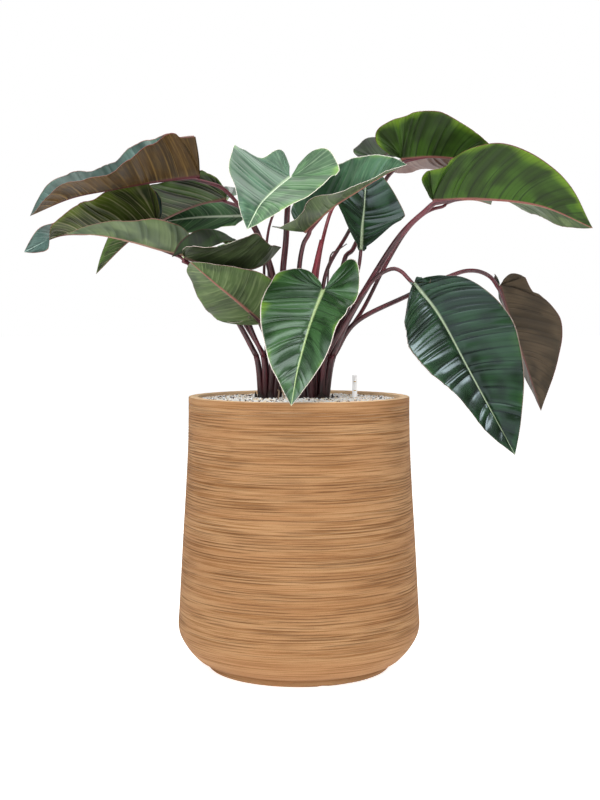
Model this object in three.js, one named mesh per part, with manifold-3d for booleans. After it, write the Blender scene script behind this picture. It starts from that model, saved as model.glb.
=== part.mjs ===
// A potted philodendron with red stalks: a tall tapered planter with a rounded foot, filled with
// stone granules, two clumps of stalks, heart-shaped leaves and a water level gauge.
// Millimetres, +Z up, the front is -Y, and the origin is the middle of the planter's flat underside.
import * as THREE from "three";
import { mergeVertices } from "three/addons/utils/BufferGeometryUtils.js";
import Module from "manifold-3d";

const wasm = await Module();
wasm.setup();

// Clearance kept between pieces that touch
const GAP = 0.3;

// Planter
const PLANTER_HEIGHT = 466;
const RIM_RADIUS = 190;
const RIM_WIDTH = 17;
const RIM_EDGE = 2;
const FLOOR_TOP = 34;
const FLOOR_RADIUS = 168;
const FLOOR_BEVEL = 14;
const BORE_START = 110;
const FOOT_RADIUS = 158;
const FOOT_HEIGHT = 14;
const PLANTER_SIDES = 40;
// Outer wall from the foot up to just under the rim, as [radius, height]
const WALL_OUTLINE = [
  [167, FOOT_HEIGHT],
  [176, 16],
  [185.5, 25],
  [193.2, 34],
  [199.2, 43],
  [204.3, 52],
  [207.7, 61],
  [209.4, 74],
  [208, 97],
  [204, 168],
  [200, 235],
  [195.5, 305],
  [191.7, 375],
  [190.3, 425],
  [RIM_RADIUS, PLANTER_HEIGHT - RIM_EDGE],
];
const INNER_WALL = [
  [FLOOR_RADIUS - FLOOR_BEVEL, FLOOR_TOP],
  [FLOOR_RADIUS, FLOOR_TOP + FLOOR_BEVEL],
  [RIM_RADIUS - RIM_WIDTH, BORE_START],
  [RIM_RADIUS - RIM_WIDTH, PLANTER_HEIGHT - RIM_EDGE],
];

// Granules that fill the planter
const FILL_LEVEL = 458;
const FILL_RINGS = 9;
const FILL_LUMP = 2.4;
const FILL_CROWN = 3;
const FILL_SEED = 7;

// Water level gauge in a plain hole of the fill, and the float with its stick inside it
const GAUGE = { x: 98, y: 44, radius: 4.3, bore: 3, bottom: 46, top: 500, cap: 2, sides: 12 };
const FLOAT = { radius: 2.6, stick: 1, rise: 6, height: 60, stickTop: 420 };

// Two clumps: a plain root neck in the fill, and the stalk bases fused above it
const NECK_BOTTOM = 322;
const NECK_TOP = 456;
const NECK_SIDES = 20;
const STALK_ROOT = 446;
const STALK_SPLIT = 535;
const ROOT_SPREAD = 0.55;
const SHEATH_SWELL = 1.3;
const STALK_SIDES = 8;
const STALK_STEP = 32;
const STALK_TAPER = 0.75;
const SEAT_ROUNDS = 4;
const CLUMPS = {
  left: { x: -52, y: 10, neck: 22 },
  right: { x: 26, y: 4, neck: 29 },
};

// Leaf blades
const BLADE_THICKNESS = 1.2;
const RIB_DEPTH = 3;
const BLADE_ROWS = 12;
const BLADE_COLUMNS = [0, 0.07, 0.36, 0.7, 1];
const LOBE_ROWS = 0.44;
const VEIN_BEND = 1.35;
const WAVES = 2.3;
// Half outlines from the notch at the stalk, round the basal lobe, to the tip. The first number
// runs along the midrib, in lobe lengths where negative and in blade lengths where positive.
// The second runs across, in half widths.
const HEART = [
  [-0.5, 0.1],
  [-1, 0.34],
  [-0.92, 0.64],
  [-0.35, 0.88],
  [0.08, 0.98],
  [0.22, 1],
  [0.38, 0.97],
  [0.53, 0.86],
  [0.68, 0.66],
  [0.82, 0.4],
  [0.93, 0.17],
  [1, 0],
];
const OBLONG = [
  [-0.6, 0.12],
  [-1, 0.28],
  [-0.5, 0.48],
  [0.06, 0.6],
  [0.16, 0.76],
  [0.28, 0.92],
  [0.42, 1],
  [0.55, 0.92],
  [0.68, 0.72],
  [0.82, 0.43],
  [0.93, 0.16],
  [1, 0],
];
const SLOPED = [
  [-0.5, 0.04],
  [-1, 0.1],
  [0, 0.16],
  [0.05, 0.3],
  [0.12, 0.46],
  [0.22, 0.65],
  [0.34, 0.82],
  [0.47, 0.95],
  [0.6, 0.97],
  [0.76, 0.76],
  [0.9, 0.36],
  [1, 0],
];
const SHOULDERED = [
  [-0.5, 0.03],
  [-1, 0.08],
  [0.04, 0.08],
  [0.1, 0.2],
  [0.17, 0.4],
  [0.25, 0.64],
  [0.35, 0.88],
  [0.45, 1],
  [0.55, 0.95],
  [0.7, 0.6],
  [0.88, 0.33],
  [1, 0],
];
const ROUNDED = [
  [-0.5, 0.1],
  [-1, 0.3],
  [-0.9, 0.52],
  [-0.3, 0.72],
  [0.04, 0.86],
  [0.11, 0.96],
  [0.22, 1],
  [0.36, 0.97],
  [0.53, 0.86],
  [0.7, 0.62],
  [0.88, 0.3],
  [1, 0],
];
const SHORT = [
  [-0.5, 0.03],
  [-1, 0.08],
  [0.05, 0.1],
  [0.1, 0.25],
  [0.13, 0.6],
  [0.16, 0.9],
  [0.24, 1],
  [0.36, 0.92],
  [0.52, 0.76],
  [0.7, 0.6],
  [0.86, 0.42],
  [1, 0],
];
const NOTCHED = [
  [-0.5, 0.1],
  [-1, 0.3],
  [-0.9, 0.46],
  [-0.17, 0.6],
  [-0.08, 0.82],
  [0.06, 0.97],
  [0.14, 1.07],
  [0.32, 0.99],
  [0.55, 0.85],
  [0.74, 0.55],
  [0.9, 0.24],
  [1, 0],
];
const TAPERED = [
  [-0.5, 0.03],
  [-1, 0.08],
  [0.03, 0.14],
  [0.11, 0.28],
  [0.19, 0.52],
  [0.27, 0.8],
  [0.36, 0.97],
  [0.45, 1],
  [0.58, 0.9],
  [0.72, 0.7],
  [0.88, 0.36],
  [1, 0],
];

// Colours
const CLAY = 0xb98a5c;
const STONES = 0xb9b2a6;
const CLEAR = 0xd4d6d4;
const RED = 0xb03a2e;
const DARK_STALK = 0x33191b;
const RED_STALK = 0x7c2b32;
const DRY = 0x2a1c18;
const DEEP_GREEN = 0x24402a;
const MID_GREEN = 0x4f7a52;
const PALE_GREEN = 0x86a886;
const OLIVE = 0x5d6b3c;
const BROWN = 0x5e4a33;

// Each leaf: its clump and the spot where its stalk parts from it, the points of the stalk, and
// the midrib from the stalk to the tip. face is the way the upper side looks, from the stalk to
// the tip. Each half blade has its outline, its width, and its fold in degrees from the stalk to
// the tip, where a positive fold lifts it towards the upper side. curl bends it further towards
// its margin. lobe is the length of the basal lobe and lift its tilt. belly over 1 moves the
// widest place towards the stalk. wave is the height of the waves along the margin and phase
// shifts them. What a half leaves out is as in HALF.
const HALF = { outline: HEART, curl: 8, lobe: 10, lift: 0, belly: 1, wave: 3, phase: 0 };
const LEAVES = {
  centre: {
    clump: "right", split: [20, -14], radius: 4.5, stalk: [[26, -30, 590], [34, -56, 640]],
    midrib: [[40, -87, 646], [25, -110, 608], [13, -137, 573], [-2, -182, 518], [-12, -227, 464]],
    face: [[-0.1, -0.75, 0.6], [0, -0.8, 0.5]],
    left: { width: 65, fold: [5, 20, 28, 15, 10], lobe: 66 },
    right: { width: 88, fold: [10, 8, 8, 12, 20], lobe: 28, lift: -10 },
    colour: MID_GREEN,
  },
  upper_heart: {
    clump: "left", split: [-30, 14], radius: 6.5,
    stalk: [[-33, 26, 597], [-28, 28, 683], [-23, 34, 734], [-20, 26, 790]],
    midrib: [[-15, -20, 838], [-33, -80, 817], [-50, -130, 796], [-64, -190, 772], [-79, -245, 735]],
    face: [[0, -0.3, 0.95]],
    left: { width: 92, fold: [8, 8, 5, 5, 0], lobe: 50, lift: 42 },
    right: { outline: NOTCHED, width: 98, fold: [24, 28, 32, 35, 30], belly: 1.3, lobe: 58, lift: 15 },
    colour: PALE_GREEN,
  },
  upper_right: {
    clump: "right", split: [0, 4], radius: 5.3,
    stalk: [[-3, 0, 597], [0, -8, 682], [7, -15, 724]],
    midrib: [[10, -20, 746], [54, -50, 784], [94, -85, 807], [136, -115, 830], [173, -140, 845]],
    face: [[0, -0.42, 0.9]],
    left: { width: 80, fold: [35, 37, 37, 41, 50], lobe: 12, lift: 30 },
    right: { width: 80, fold: [30, 16, 12, 12, 15], lobe: 28, lift: 50 },
    colour: MID_GREEN,
  },
  middle_right: {
    clump: "right", split: [32, 0], radius: 4.3,
    stalk: [[60, 8, 570], [90, 13, 631], [104, 8, 696]],
    midrib: [[106, 0, 718], [109, 15, 760], [113, 30, 795], [119, 60, 873]],
    face: [[0, -0.9, 0.45]],
    left: { outline: TAPERED, width: 62, fold: [38, 38, 32], belly: 0.75, lobe: 4 },
    right: { outline: TAPERED, width: 72, fold: [5], belly: 0.75, lobe: 4 },
    colour: DEEP_GREEN,
  },
  right_low: {
    clump: "right", split: [46, -12], radius: 4.5,
    stalk: [[76, -22, 588], [112, -30, 647], [137, -38, 674], [165, -48, 682]],
    midrib: [[192, -60, 658], [231, -85, 605], [281, -105, 511], [354, -120, 376]],
    face: [[-0.1, -0.9, 0.3], [0, -0.9, 0.2]],
    left: { outline: SLOPED, width: 103, fold: [8, 10], lobe: 6, wave: 4 },
    right: { outline: SHOULDERED, width: 100, fold: [35, 35], lobe: 6, wave: 4 },
    colour: DEEP_GREEN,
  },
  right_far: {
    clump: "right", split: [60, 11], radius: 4.8,
    stalk: [[98, 5, 593], [186, 10, 638], [270, 22, 676], [306, 30, 682], [333, 36, 672]],
    midrib: [[350, 40, 657], [377, 65, 588], [409, 100, 516], [444, 140, 430]],
    face: [[0.5, 0.8, 0.3]],
    left: { outline: OBLONG, width: 75, fold: [55, 45], lobe: 14, lift: 10 },
    right: { outline: OBLONG, width: 82, fold: [20, 20], lobe: 14, lift: 10 },
    colour: BROWN,
  },
  right_high: {
    clump: "right", split: [56, -2], radius: 6.3,
    stalk: [[79, -6, 588], [113, -8, 648], [172, -14, 740]],
    midrib: [[227, -20, 798], [304, -40, 799], [403, -50, 787], [494, -40, 751]],
    face: [[0, 0.7, 0.7], [0.1, 0.7, 0.7]],
    left: { width: 80, fold: [60, 55, 35, 5], belly: 0.85, lobe: 20, lift: 40, wave: 4 },
    right: { outline: OBLONG, width: 92, fold: [28, 28], lobe: 26, lift: 40, wave: 4 },
    colour: MID_GREEN,
  },
  top_right: {
    clump: "right", split: [38, 14], radius: 4.8,
    stalk: [[78, 38, 697], [94, 46, 720], [128, 76, 789], [155, 78, 847]],
    midrib: [[180, 60, 877], [240, 62, 882], [312, 58, 870], [384, 48, 826]],
    face: [[0, 0.5, 0.85]],
    left: { width: 80, fold: [16], lobe: 30, lift: 10 },
    right: { width: 85, fold: [25, 22, 14, 8], belly: 1.2, lobe: 44, lift: 10, wave: 4 },
    colour: OLIVE,
  },
  right_back: {
    clump: "right", split: [50, 22], radius: 4,
    stalk: [[105, 30, 605], [146, 34, 683], [186, 38, 750], [222, 46, 784]],
    midrib: [[254, 62, 803], [290, 112, 812], [325, 165, 816], [360, 215, 812]],
    face: [[0, -0.1, 1]],
    left: { outline: OBLONG, width: 50, fold: [20] },
    right: { outline: OBLONG, width: 50, fold: [20] },
    colour: DEEP_GREEN,
  },
  back_right: {
    clump: "right", split: [38, 26], radius: 4,
    stalk: [[36, 22, 579], [46, 32, 675], [84, 56, 746], [128, 98, 826]],
    midrib: [[143, 130, 884], [178, 190, 910], [220, 250, 920], [269, 300, 912]],
    face: [[0, -0.2, 1], [0, 0.2, 1]],
    left: { width: 55, fold: [20], lobe: 26 },
    right: { width: 60, fold: [15], lobe: 26 },
    colour: DEEP_GREEN,
  },
  back_middle: {
    clump: "right", split: [24, 20], radius: 4,
    stalk: [[23, 20, 579], [31, 24, 674], [42, 48, 739], [60, 85, 796]],
    midrib: [[82, 115, 820], [90, 170, 838], [98, 225, 845], [106, 280, 840]],
    face: [[0, -0.2, 1], [0, 0.2, 1]],
    left: { width: 60, fold: [25], lobe: 20 },
    right: { width: 45, fold: [25], lobe: 20 },
    colour: MID_GREEN,
  },
  back_left: {
    clump: "left", split: [-58, 32], radius: 3,
    stalk: [[-57, 28, 579], [-61, 36, 680], [-56, 42, 735], [-50, 48, 767]],
    midrib: [[-38, 60, 806], [-47, 130, 824], [-52, 210, 836], [-56, 285, 834]],
    face: [[0, -0.2, 1], [0, 0.2, 1]],
    left: { width: 80, fold: [28], lobe: 26 },
    right: { width: 80, fold: [28], lobe: 26 },
    colour: DEEP_GREEN,
  },
  left_top: {
    clump: "left", split: [-46, 8], radius: 4.3,
    stalk: [[-46, 6, 648], [-58, 4, 705], [-76, 0, 750], [-103, -5, 792], [-132, -12, 821]],
    midrib: [[-168, -20, 839], [-240, -28, 830], [-310, -32, 817], [-383, -30, 802], [-456, -20, 773]],
    face: [[0, 0, 1]],
    left: { outline: ROUNDED, width: 87, fold: [60, 51, 31, 18, 9, 12, 22, 12, 0], belly: 0.95, lobe: 2 },
    right: { outline: ROUNDED, width: 92, fold: [72, 64, 50, 46, 35, 36, 55, 84, 88], belly: 0.85, lobe: 2 },
    colour: BROWN,
  },
  left_second: {
    clump: "left", split: [-48, 22], radius: 4,
    stalk: [[-50, 22, 600], [-54, 24, 704], [-73, 26, 747], [-97, 28, 787]],
    midrib: [[-125, 30, 807], [-182, 75, 799], [-252, 130, 774], [-314, 160, 739], [-374, 165, 681]],
    face: [[0, 0, 1]],
    left: { width: 78, fold: [34, 22, 40, 60, 75], lobe: 14 },
    right: { width: 70, fold: [20, 25, 30, 30, 20] },
    colour: MID_GREEN,
  },
  left_third: {
    clump: "left", split: [-74, 2], radius: 5,
    stalk: [[-108, 10, 597], [-147, 8, 655]],
    midrib: [[-194, 8, 706], [-241, -10, 718], [-287, -22, 730], [-341, -30, 740], [-396, -34, 741]],
    face: [[0, 0, 1]],
    left: { outline: OBLONG, width: 86, fold: [27, 22, 22, 26, 20], belly: 1.35, lobe: 4 },
    right: { outline: OBLONG, width: 70, fold: [10], lobe: 4 },
    colour: DEEP_GREEN,
  },
  left_fourth: {
    clump: "left", split: [-60, 16], radius: 4.2,
    stalk: [[-99, 26, 597], [-150, 36, 670], [-200, 38, 730]],
    midrib: [[-246, 35, 763], [-305, 42, 756], [-364, 48, 747], [-421, 52, 743], [-481, 45, 715]],
    face: [[0, 0, 1], [0, 0, 1], [0, 0, 1], [-0.1, -0.3, 0.95], [-0.3, -0.85, 0.3]],
    left: { width: 85, fold: [57, 50, 40, 30, 33, 41, 40, -5, 0] },
    right: { width: 66, fold: [75, 75, 75, 70, 55, 36, 27, 47, 20], belly: 0.8 },
    colour: DEEP_GREEN,
  },
  left_back: {
    clump: "left", split: [-34, 32], radius: 3.6,
    stalk: [[-34, 40, 597], [-44, 50, 675], [-64, 66, 733], [-82, 82, 769]],
    midrib: [[-105, 100, 782], [-171, 140, 783], [-227, 160, 779], [-275, 175, 771]],
    face: [[0, -0.8, 0.6]],
    left: { outline: OBLONG, width: 42, fold: [0] },
    right: { outline: OBLONG, width: 42, fold: [0] },
    colour: DEEP_GREEN,
  },
  left_inner: {
    clump: "left", split: [-62, -6], radius: 4.2,
    stalk: [[-85, 8, 588], [-106, 14, 666]],
    midrib: [[-115, 10, 737], [-138, -15, 749], [-167, -54, 747], [-193, -82, 728], [-208, -98, 700]],
    face: [[-0.1, -0.2, 0.97], [-0.1, -0.5, 0.85]],
    left: { width: 58, fold: [-25], lobe: 8 },
    right: { width: 15, fold: [-40], lobe: 4 },
    colour: DEEP_GREEN,
  },
  left_front: {
    clump: "left", split: [-48, -8], radius: 4.2,
    stalk: [[-60, -4, 575], [-85, -12, 622], [-130, -50, 668], [-164, -82, 684]],
    midrib: [[-187, -110, 699], [-143, -95, 685], [-94, -78, 679], [-58, -60, 690], [-30, -40, 719]],
    face: [[0, 0, 1]],
    left: { outline: TAPERED, width: 55, fold: [8, 6, 5, 10], lobe: 4 },
    right: { outline: OBLONG, width: 78, fold: [20, 36, 40, 38, 50], belly: 0.7 },
    colour: OLIVE,
  },
  left_low: {
    clump: "left", split: [-36, -6], radius: 4.2,
    stalk: [[-46, -12, 560]],
    midrib: [[-61, -20, 590], [-100, -60, 625], [-139, -100, 658], [-175, -140, 690]],
    face: [[-0.2, 0.5, 0.84]],
    left: { width: 70, fold: [5], lobe: 22 },
    right: { outline: SHORT, width: 76, fold: [12, 14, 12, 25, 35], lobe: 2 },
    colour: OLIVE,
  },
};

// Slim shoots without a blade: a leaf still rolled in its red sheath, and a dry one
const SHOOTS = {
  new_leaf: {
    clump: "right", split: [13, 11], radius: 7.5, endRadius: 3,
    points: [[24, 2, 657], [30, 4, 696], [38, 6, 734]], colour: RED_STALK,
  },
  dry_sheath: {
    clump: "right", split: [27, -9], radius: 2, endRadius: 0.8,
    points: [[46, -8, 631], [53, -6, 703], [67, -2, 716], [82, 4, 727]], colour: DRY,
  },
};

// A closed body's vertices, shared between its faces
function welded(geometry) {
  const bare = geometry.clone();
  bare.deleteAttribute("normal");
  bare.deleteAttribute("uv");
  return mergeVertices(bare, 1e-4);
}

function toSolid(geometry) {
  const body = welded(geometry);
  return new wasm.Manifold(new wasm.Mesh({
    numProp: 3,
    vertProperties: new Float32Array(body.attributes.position.array),
    triVerts: new Uint32Array(body.index.array),
  }));
}

// An upright cylinder about a place { x, y }
function cylinderSolid({ x, y }, radius, bottom, top, sides) {
  const outline = [[0, bottom], [radius, bottom], [radius, top], [0, top]];
  return toSolid(turned(outline, sides).translate(x, y, 0));
}

function toGeometry(solid) {
  const mesh = solid.getMesh();
  const geometry = new THREE.BufferGeometry();
  geometry.setAttribute("position", new THREE.BufferAttribute(mesh.vertProperties, 3));
  geometry.setIndex(new THREE.BufferAttribute(mesh.triVerts, 1));
  return geometry;
}

function fromFaces(vertices, faces) {
  const geometry = new THREE.BufferGeometry();
  geometry.setAttribute("position", new THREE.Float32BufferAttribute(vertices.flat(), 3));
  geometry.setIndex(faces.flat());
  return geometry;
}

// A body turned about the Z axis from [radius, height] points that start and end on the axis
function turned(outline, sides) {
  const points = outline.map(([radius, height]) => new THREE.Vector2(radius, height));
  return new THREE.LatheGeometry(points, sides).rotateX(Math.PI / 2);
}

function smoothCurve(points) {
  const vectors = points.map((p) => new THREE.Vector3(...p));
  return new THREE.CatmullRomCurve3(vectors, false, "catmullrom", 0.5);
}

// A closed tube along a smooth curve, with a radius for each of its ends. A flat end is cut level.
// Where facing is given, an edge of the tube's end looks that way.
function stalkTube(points, [startRadius, endRadius], { flatStart = false, flatEnd = false, facing } = {}) {
  const curve = smoothCurve(points);
  const steps = Math.max(2, Math.round(curve.getLength() / STALK_STEP));
  const { normals, binormals, tangents } = curve.computeFrenetFrames(steps, false);
  const first = facing ? Math.atan2(facing.dot(binormals[steps]), facing.dot(normals[steps])) : 0;
  const vertices = [];
  const faces = [];
  for (let i = 0; i <= steps; i++) {
    const centre = curve.getPointAt(i / steps);
    const radius = THREE.MathUtils.lerp(startRadius, endRadius, i / steps);
    const level = (i === 0 && flatStart) || (i === steps && flatEnd);
    for (let k = 0; k < STALK_SIDES; k++) {
      const turn = first + (2 * Math.PI * k) / STALK_SIDES;
      const point = centre.clone()
        .addScaledVector(normals[i], radius * Math.cos(turn))
        .addScaledVector(binormals[i], radius * Math.sin(turn));
      if (level) {
        point.addScaledVector(tangents[i], (centre.z - point.z) / tangents[i].z);
      }
      vertices.push(point.toArray());
    }
  }
  for (let i = 0; i < steps; i++) {
    for (let k = 0; k < STALK_SIDES; k++) {
      const a = i * STALK_SIDES + k;
      const b = i * STALK_SIDES + ((k + 1) % STALK_SIDES);
      faces.push([a, b, b + STALK_SIDES], [a, b + STALK_SIDES, a + STALK_SIDES]);
    }
  }
  const last = steps * STALK_SIDES;
  for (let k = 1; k < STALK_SIDES - 1; k++) {
    faces.push([0, k + 1, k], [last, last + k, last + k + 1]);
  }
  return fromFaces(vertices, faces);
}

// A value read along a list that is spread evenly over a blade's length
function spread(values, share) {
  const place = share * (values.length - 1);
  const i = Math.min(Math.floor(place), Math.max(values.length - 2, 0));
  const blend = THREE.MathUtils.smoothstep(place - i, 0, 1);
  return { from: values[i], to: values[i + 1] ?? values[i], blend };
}

function spreadAngle(degrees, share) {
  const { from, to, blend } = spread(degrees, share);
  return THREE.MathUtils.degToRad(THREE.MathUtils.lerp(from, to, blend));
}

function spreadVector(vectors, share) {
  const { from, to, blend } = spread(vectors, share);
  return new THREE.Vector3(...from).lerp(new THREE.Vector3(...to), blend);
}

// The middle surface of a blade. The returned function takes a place along the outline from 0 at
// the stalk to 1 at the tip, a place across from 0 at the midrib to 1 at the margin, and a side,
// +1 right or -1 left. It gives the point, the way up there and the share of the midrib.
function bladeSurface(leaf) {
  const curve = smoothCurve(leaf.midrib);
  const length = curve.getLength();
  const halves = { 1: { ...HALF, ...leaf.right }, [-1]: { ...HALF, ...leaf.left } };
  for (const half of Object.values(halves)) {
    half.curve = new THREE.SplineCurve(half.outline.map((point) => new THREE.Vector2(...point)));
  }
  return (row, column, side) => {
    const half = halves[side];
    const outline = half.curve.getPoint(row);
    const margin = outline.x < 0 ? outline.x * half.lobe : Math.pow(outline.x, half.belly) * length;
    const start = (Math.max(row - LOBE_ROWS, 0) / (1 - LOBE_ROWS)) * length;
    const run = THREE.MathUtils.lerp(start, margin, Math.pow(column, VEIN_BEND));
    const share = THREE.MathUtils.clamp(run / length, 0, 1);
    const tangent = curve.getTangent(share);
    const up = spreadVector(leaf.face, share);
    up.addScaledVector(tangent, -up.dot(tangent)).normalize();
    const sideways = tangent.clone().cross(up).multiplyScalar(side);
    const point = curve.getPoint(share);
    if (run < 0) {
      const lift = THREE.MathUtils.degToRad(half.lift);
      point.addScaledVector(tangent, run * Math.cos(lift)).addScaledVector(up, -run * Math.sin(lift));
    }
    const across = column * Math.max(outline.y, 0) * half.width;
    const curl = THREE.MathUtils.degToRad(half.curl) * column * outline.y;
    const fold = spreadAngle(half.fold, share);
    const wave = half.wave * column * column * Math.sin(2 * Math.PI * (WAVES * row + half.phase));
    point.addScaledVector(sideways, across * Math.cos(fold + curl / 2));
    point.addScaledVector(up, across * Math.sin(fold + curl / 2) + wave * outline.y);
    const normal = up.clone();
    if (column > 0) {
      normal.multiplyScalar(Math.cos(fold + curl)).addScaledVector(sideways, -Math.sin(fold + curl));
    }
    return { point, normal, share };
  };
}

// A blade as a thin closed body with a rib under its midrib. Both faces have the same triangles.
function bladeGeometry(leaf) {
  const surface = bladeSurface(leaf);
  const vertices = [];
  const faces = [];
  const known = new Map();
  const vertex = (row, column, side) => {
    const { point, normal, share } = surface(row, column, side);
    const key = point.toArray().map((n) => n.toFixed(2)).join(" ");
    if (!known.has(key)) {
      const depth = BLADE_THICKNESS / 2 + (column === 0 ? RIB_DEPTH * (1 - share) : 0);
      known.set(key, vertices.length);
      vertices.push(point.clone().addScaledVector(normal, BLADE_THICKNESS / 2).toArray());
      vertices.push(point.clone().addScaledVector(normal, -depth).toArray());
    }
    return known.get(key);
  };
  const triangle = (a, b, c) => {
    if (a !== b && b !== c && c !== a) {
      faces.push([a, b, c], [a + 1, c + 1, b + 1]);
    }
  };
  for (const side of [1, -1]) {
    const turn = side > 0 ? (a, b, c) => triangle(a, b, c) : (a, b, c) => triangle(a, c, b);
    const rows = [];
    for (let i = 0; i < BLADE_ROWS; i++) {
      rows.push(BLADE_COLUMNS.map((column) => vertex(i / (BLADE_ROWS - 1), column, side)));
    }
    for (let i = 0; i + 1 < rows.length; i++) {
      for (let j = 0; j + 1 < BLADE_COLUMNS.length; j++) {
        turn(rows[i][j], rows[i][j + 1], rows[i + 1][j + 1]);
        turn(rows[i][j], rows[i + 1][j + 1], rows[i + 1][j]);
      }
    }
    const edge = [...rows[0], ...rows.slice(1).map((row) => row.at(-1))];
    for (let i = 0; i + 1 < edge.length; i++) {
      const [a, b] = side > 0 ? [edge[i], edge[i + 1]] : [edge[i + 1], edge[i]];
      faces.push([a, a + 1, b + 1], [a, b + 1, b]);
    }
  }
  return fromFaces(vertices, faces);
}

// The stalk of a leaf, from where it parts from its clump to just under the blade's rib. The edge
// of its end lies right under the start of the rib.
function stalkGeometry(leaf) {
  const { point, normal } = bladeSurface(leaf)(0, 0, 1);
  const radius = leaf.radius;
  const endRadius = radius * STALK_TAPER;
  const start = [...leaf.split, STALK_SPLIT + GAP / 2];
  const seat = point.addScaledVector(normal, -(BLADE_THICKNESS / 2 + RIB_DEPTH + GAP));
  const end = seat.clone();
  for (let i = 0; i < SEAT_ROUNDS; i++) {
    const arrival = smoothCurve([start, ...leaf.stalk, end.toArray()]).getTangent(1);
    const edge = normal.clone().addScaledVector(arrival, -normal.dot(arrival)).normalize();
    end.copy(seat).addScaledVector(edge, -endRadius);
  }
  const points = [start, ...leaf.stalk, end.toArray()];
  return stalkTube(points, [radius, endRadius], { flatStart: true, facing: normal });
}

function shootGeometry({ split, radius, endRadius, points }) {
  const start = [...split, STALK_SPLIT + GAP / 2];
  return stalkTube([start, ...points], [radius, endRadius], { flatStart: true });
}

// A clump: the root neck and the lower stretch of each of its stalks, joined in one body
function clumpGeometry(name) {
  const clump = CLUMPS[name];
  let body = cylinderSolid(clump, clump.neck, NECK_BOTTOM, NECK_TOP, NECK_SIDES);
  const grown = Object.values({ ...LEAVES, ...SHOOTS }).filter((each) => each.clump === name);
  for (const { split: [x, y], radius } of grown) {
    const root = [
      THREE.MathUtils.lerp(clump.x, x, ROOT_SPREAD),
      THREE.MathUtils.lerp(clump.y, y, ROOT_SPREAD),
      STALK_ROOT,
    ];
    const base = stalkTube(
      [root, [x, y, STALK_SPLIT - GAP / 2]],
      [radius * SHEATH_SWELL, radius],
      { flatEnd: true },
    );
    body = body.add(toSolid(base));
  }
  return toGeometry(body);
}

function planterGeometry() {
  return turned([
    [0, 0],
    [FOOT_RADIUS, 0],
    [FOOT_RADIUS, FOOT_HEIGHT],
    ...WALL_OUTLINE,
    [RIM_RADIUS - RIM_EDGE, PLANTER_HEIGHT],
    [RIM_RADIUS - RIM_WIDTH + RIM_EDGE, PLANTER_HEIGHT],
    ...INNER_WALL.toReversed(),
    [0, FLOOR_TOP],
  ], PLANTER_SIDES);
}

// Numbers from 0 to 1 that are the same on every run
function seededDraws(seed) {
  const multiplier = 16807;
  const modulus = 2147483647;
  let state = seed;
  return () => {
    state = (state * multiplier) % modulus;
    return state / modulus;
  };
}

// The granule fill: a lumpy top, sides that follow the planter's wall, and plain holes
function fillGeometry() {
  const rimRadius = RIM_RADIUS - RIM_WIDTH - GAP;
  const outline = [
    [0, FLOOR_TOP + GAP],
    ...INNER_WALL.slice(0, 3).map(([radius, height]) => [radius - GAP, height + GAP]),
  ];
  for (let i = 0; i <= FILL_RINGS; i++) {
    outline.push([rimRadius * (1 - i / FILL_RINGS), FILL_LEVEL]);
  }
  const fill = welded(turned(outline, PLANTER_SIDES));
  const draw = seededDraws(FILL_SEED);
  const place = fill.attributes.position;
  for (let i = 0; i < place.count; i++) {
    const radius = Math.hypot(place.getX(i), place.getY(i));
    if (Math.abs(place.getZ(i) - FILL_LEVEL) < 1e-3 && radius < rimRadius - 1) {
      const crown = FILL_CROWN * (1 - radius / rimRadius);
      place.setZ(i, FILL_LEVEL + crown + FILL_LUMP * (draw() - 0.5));
    }
  }
  let body = toSolid(fill);
  for (const clump of Object.values(CLUMPS)) {
    const hole = cylinderSolid(clump, clump.neck + GAP, NECK_BOTTOM - GAP, PLANTER_HEIGHT, NECK_SIDES);
    body = body.subtract(hole);
  }
  const { radius, bottom, sides } = GAUGE;
  const hole = cylinderSolid(GAUGE, radius + GAP, bottom - GAP, PLANTER_HEIGHT, sides);
  return toGeometry(body.subtract(hole));
}

function gaugeGeometry() {
  const { radius, bore, bottom, top, cap, sides } = GAUGE;
  return turned([
    [bore, bottom],
    [radius, bottom],
    [radius, top],
    [0, top],
    [0, top - cap],
    [bore, top - cap],
    [bore, bottom],
  ], sides);
}

function floatGeometry() {
  const { radius, stick, rise, height, stickTop } = FLOAT;
  const bottom = GAUGE.bottom + rise;
  return turned([
    [0, bottom],
    [radius, bottom],
    [radius, bottom + height],
    [stick, bottom + height],
    [stick, stickTop],
    [0, stickTop],
  ], GAUGE.sides);
}

const plant = new THREE.Group();

function add(name, geometry, color, roughness, metalness = 0) {
  const mesh = new THREE.Mesh(geometry, new THREE.MeshStandardMaterial({ color, roughness, metalness }));
  mesh.name = name;
  plant.add(mesh);
  return mesh;
}

add("planter", planterGeometry(), CLAY, 0.8);
add("granules", fillGeometry(), STONES, 0.95);
add("gauge_tube", gaugeGeometry(), CLEAR, 0.3).position.set(GAUGE.x, GAUGE.y, 0);
add("gauge_float", floatGeometry(), RED, 0.5).position.set(GAUGE.x, GAUGE.y, 0);
for (const name of Object.keys(CLUMPS)) {
  add(`clump_${name}`, clumpGeometry(name), DARK_STALK, 0.6);
}
for (const [name, leaf] of Object.entries(LEAVES)) {
  add(`stalk_${name}`, stalkGeometry(leaf), DARK_STALK, 0.5);
  add(`blade_${name}`, bladeGeometry(leaf), leaf.colour, 0.35);
}
for (const [name, shoot] of Object.entries(SHOOTS)) {
  add(name, shootGeometry(shoot), shoot.colour, 0.5);
}

export default plant;
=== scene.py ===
"""The looks of a potted philodendron with red stalks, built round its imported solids.

Sizes are the solids' own driving sizes, in millimetres, and angles are in degrees. Meshes are made
in metres in the solids' frame: +Z is up, the front is -Y, and the origin is the middle of the
planter's flat underside. Finishes, node trees and the studio work in metres.
"""

import logging
import math
from collections.abc import Sequence
from dataclasses import dataclass, replace
from enum import Enum
from functools import cache, reduce
from typing import Any

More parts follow.
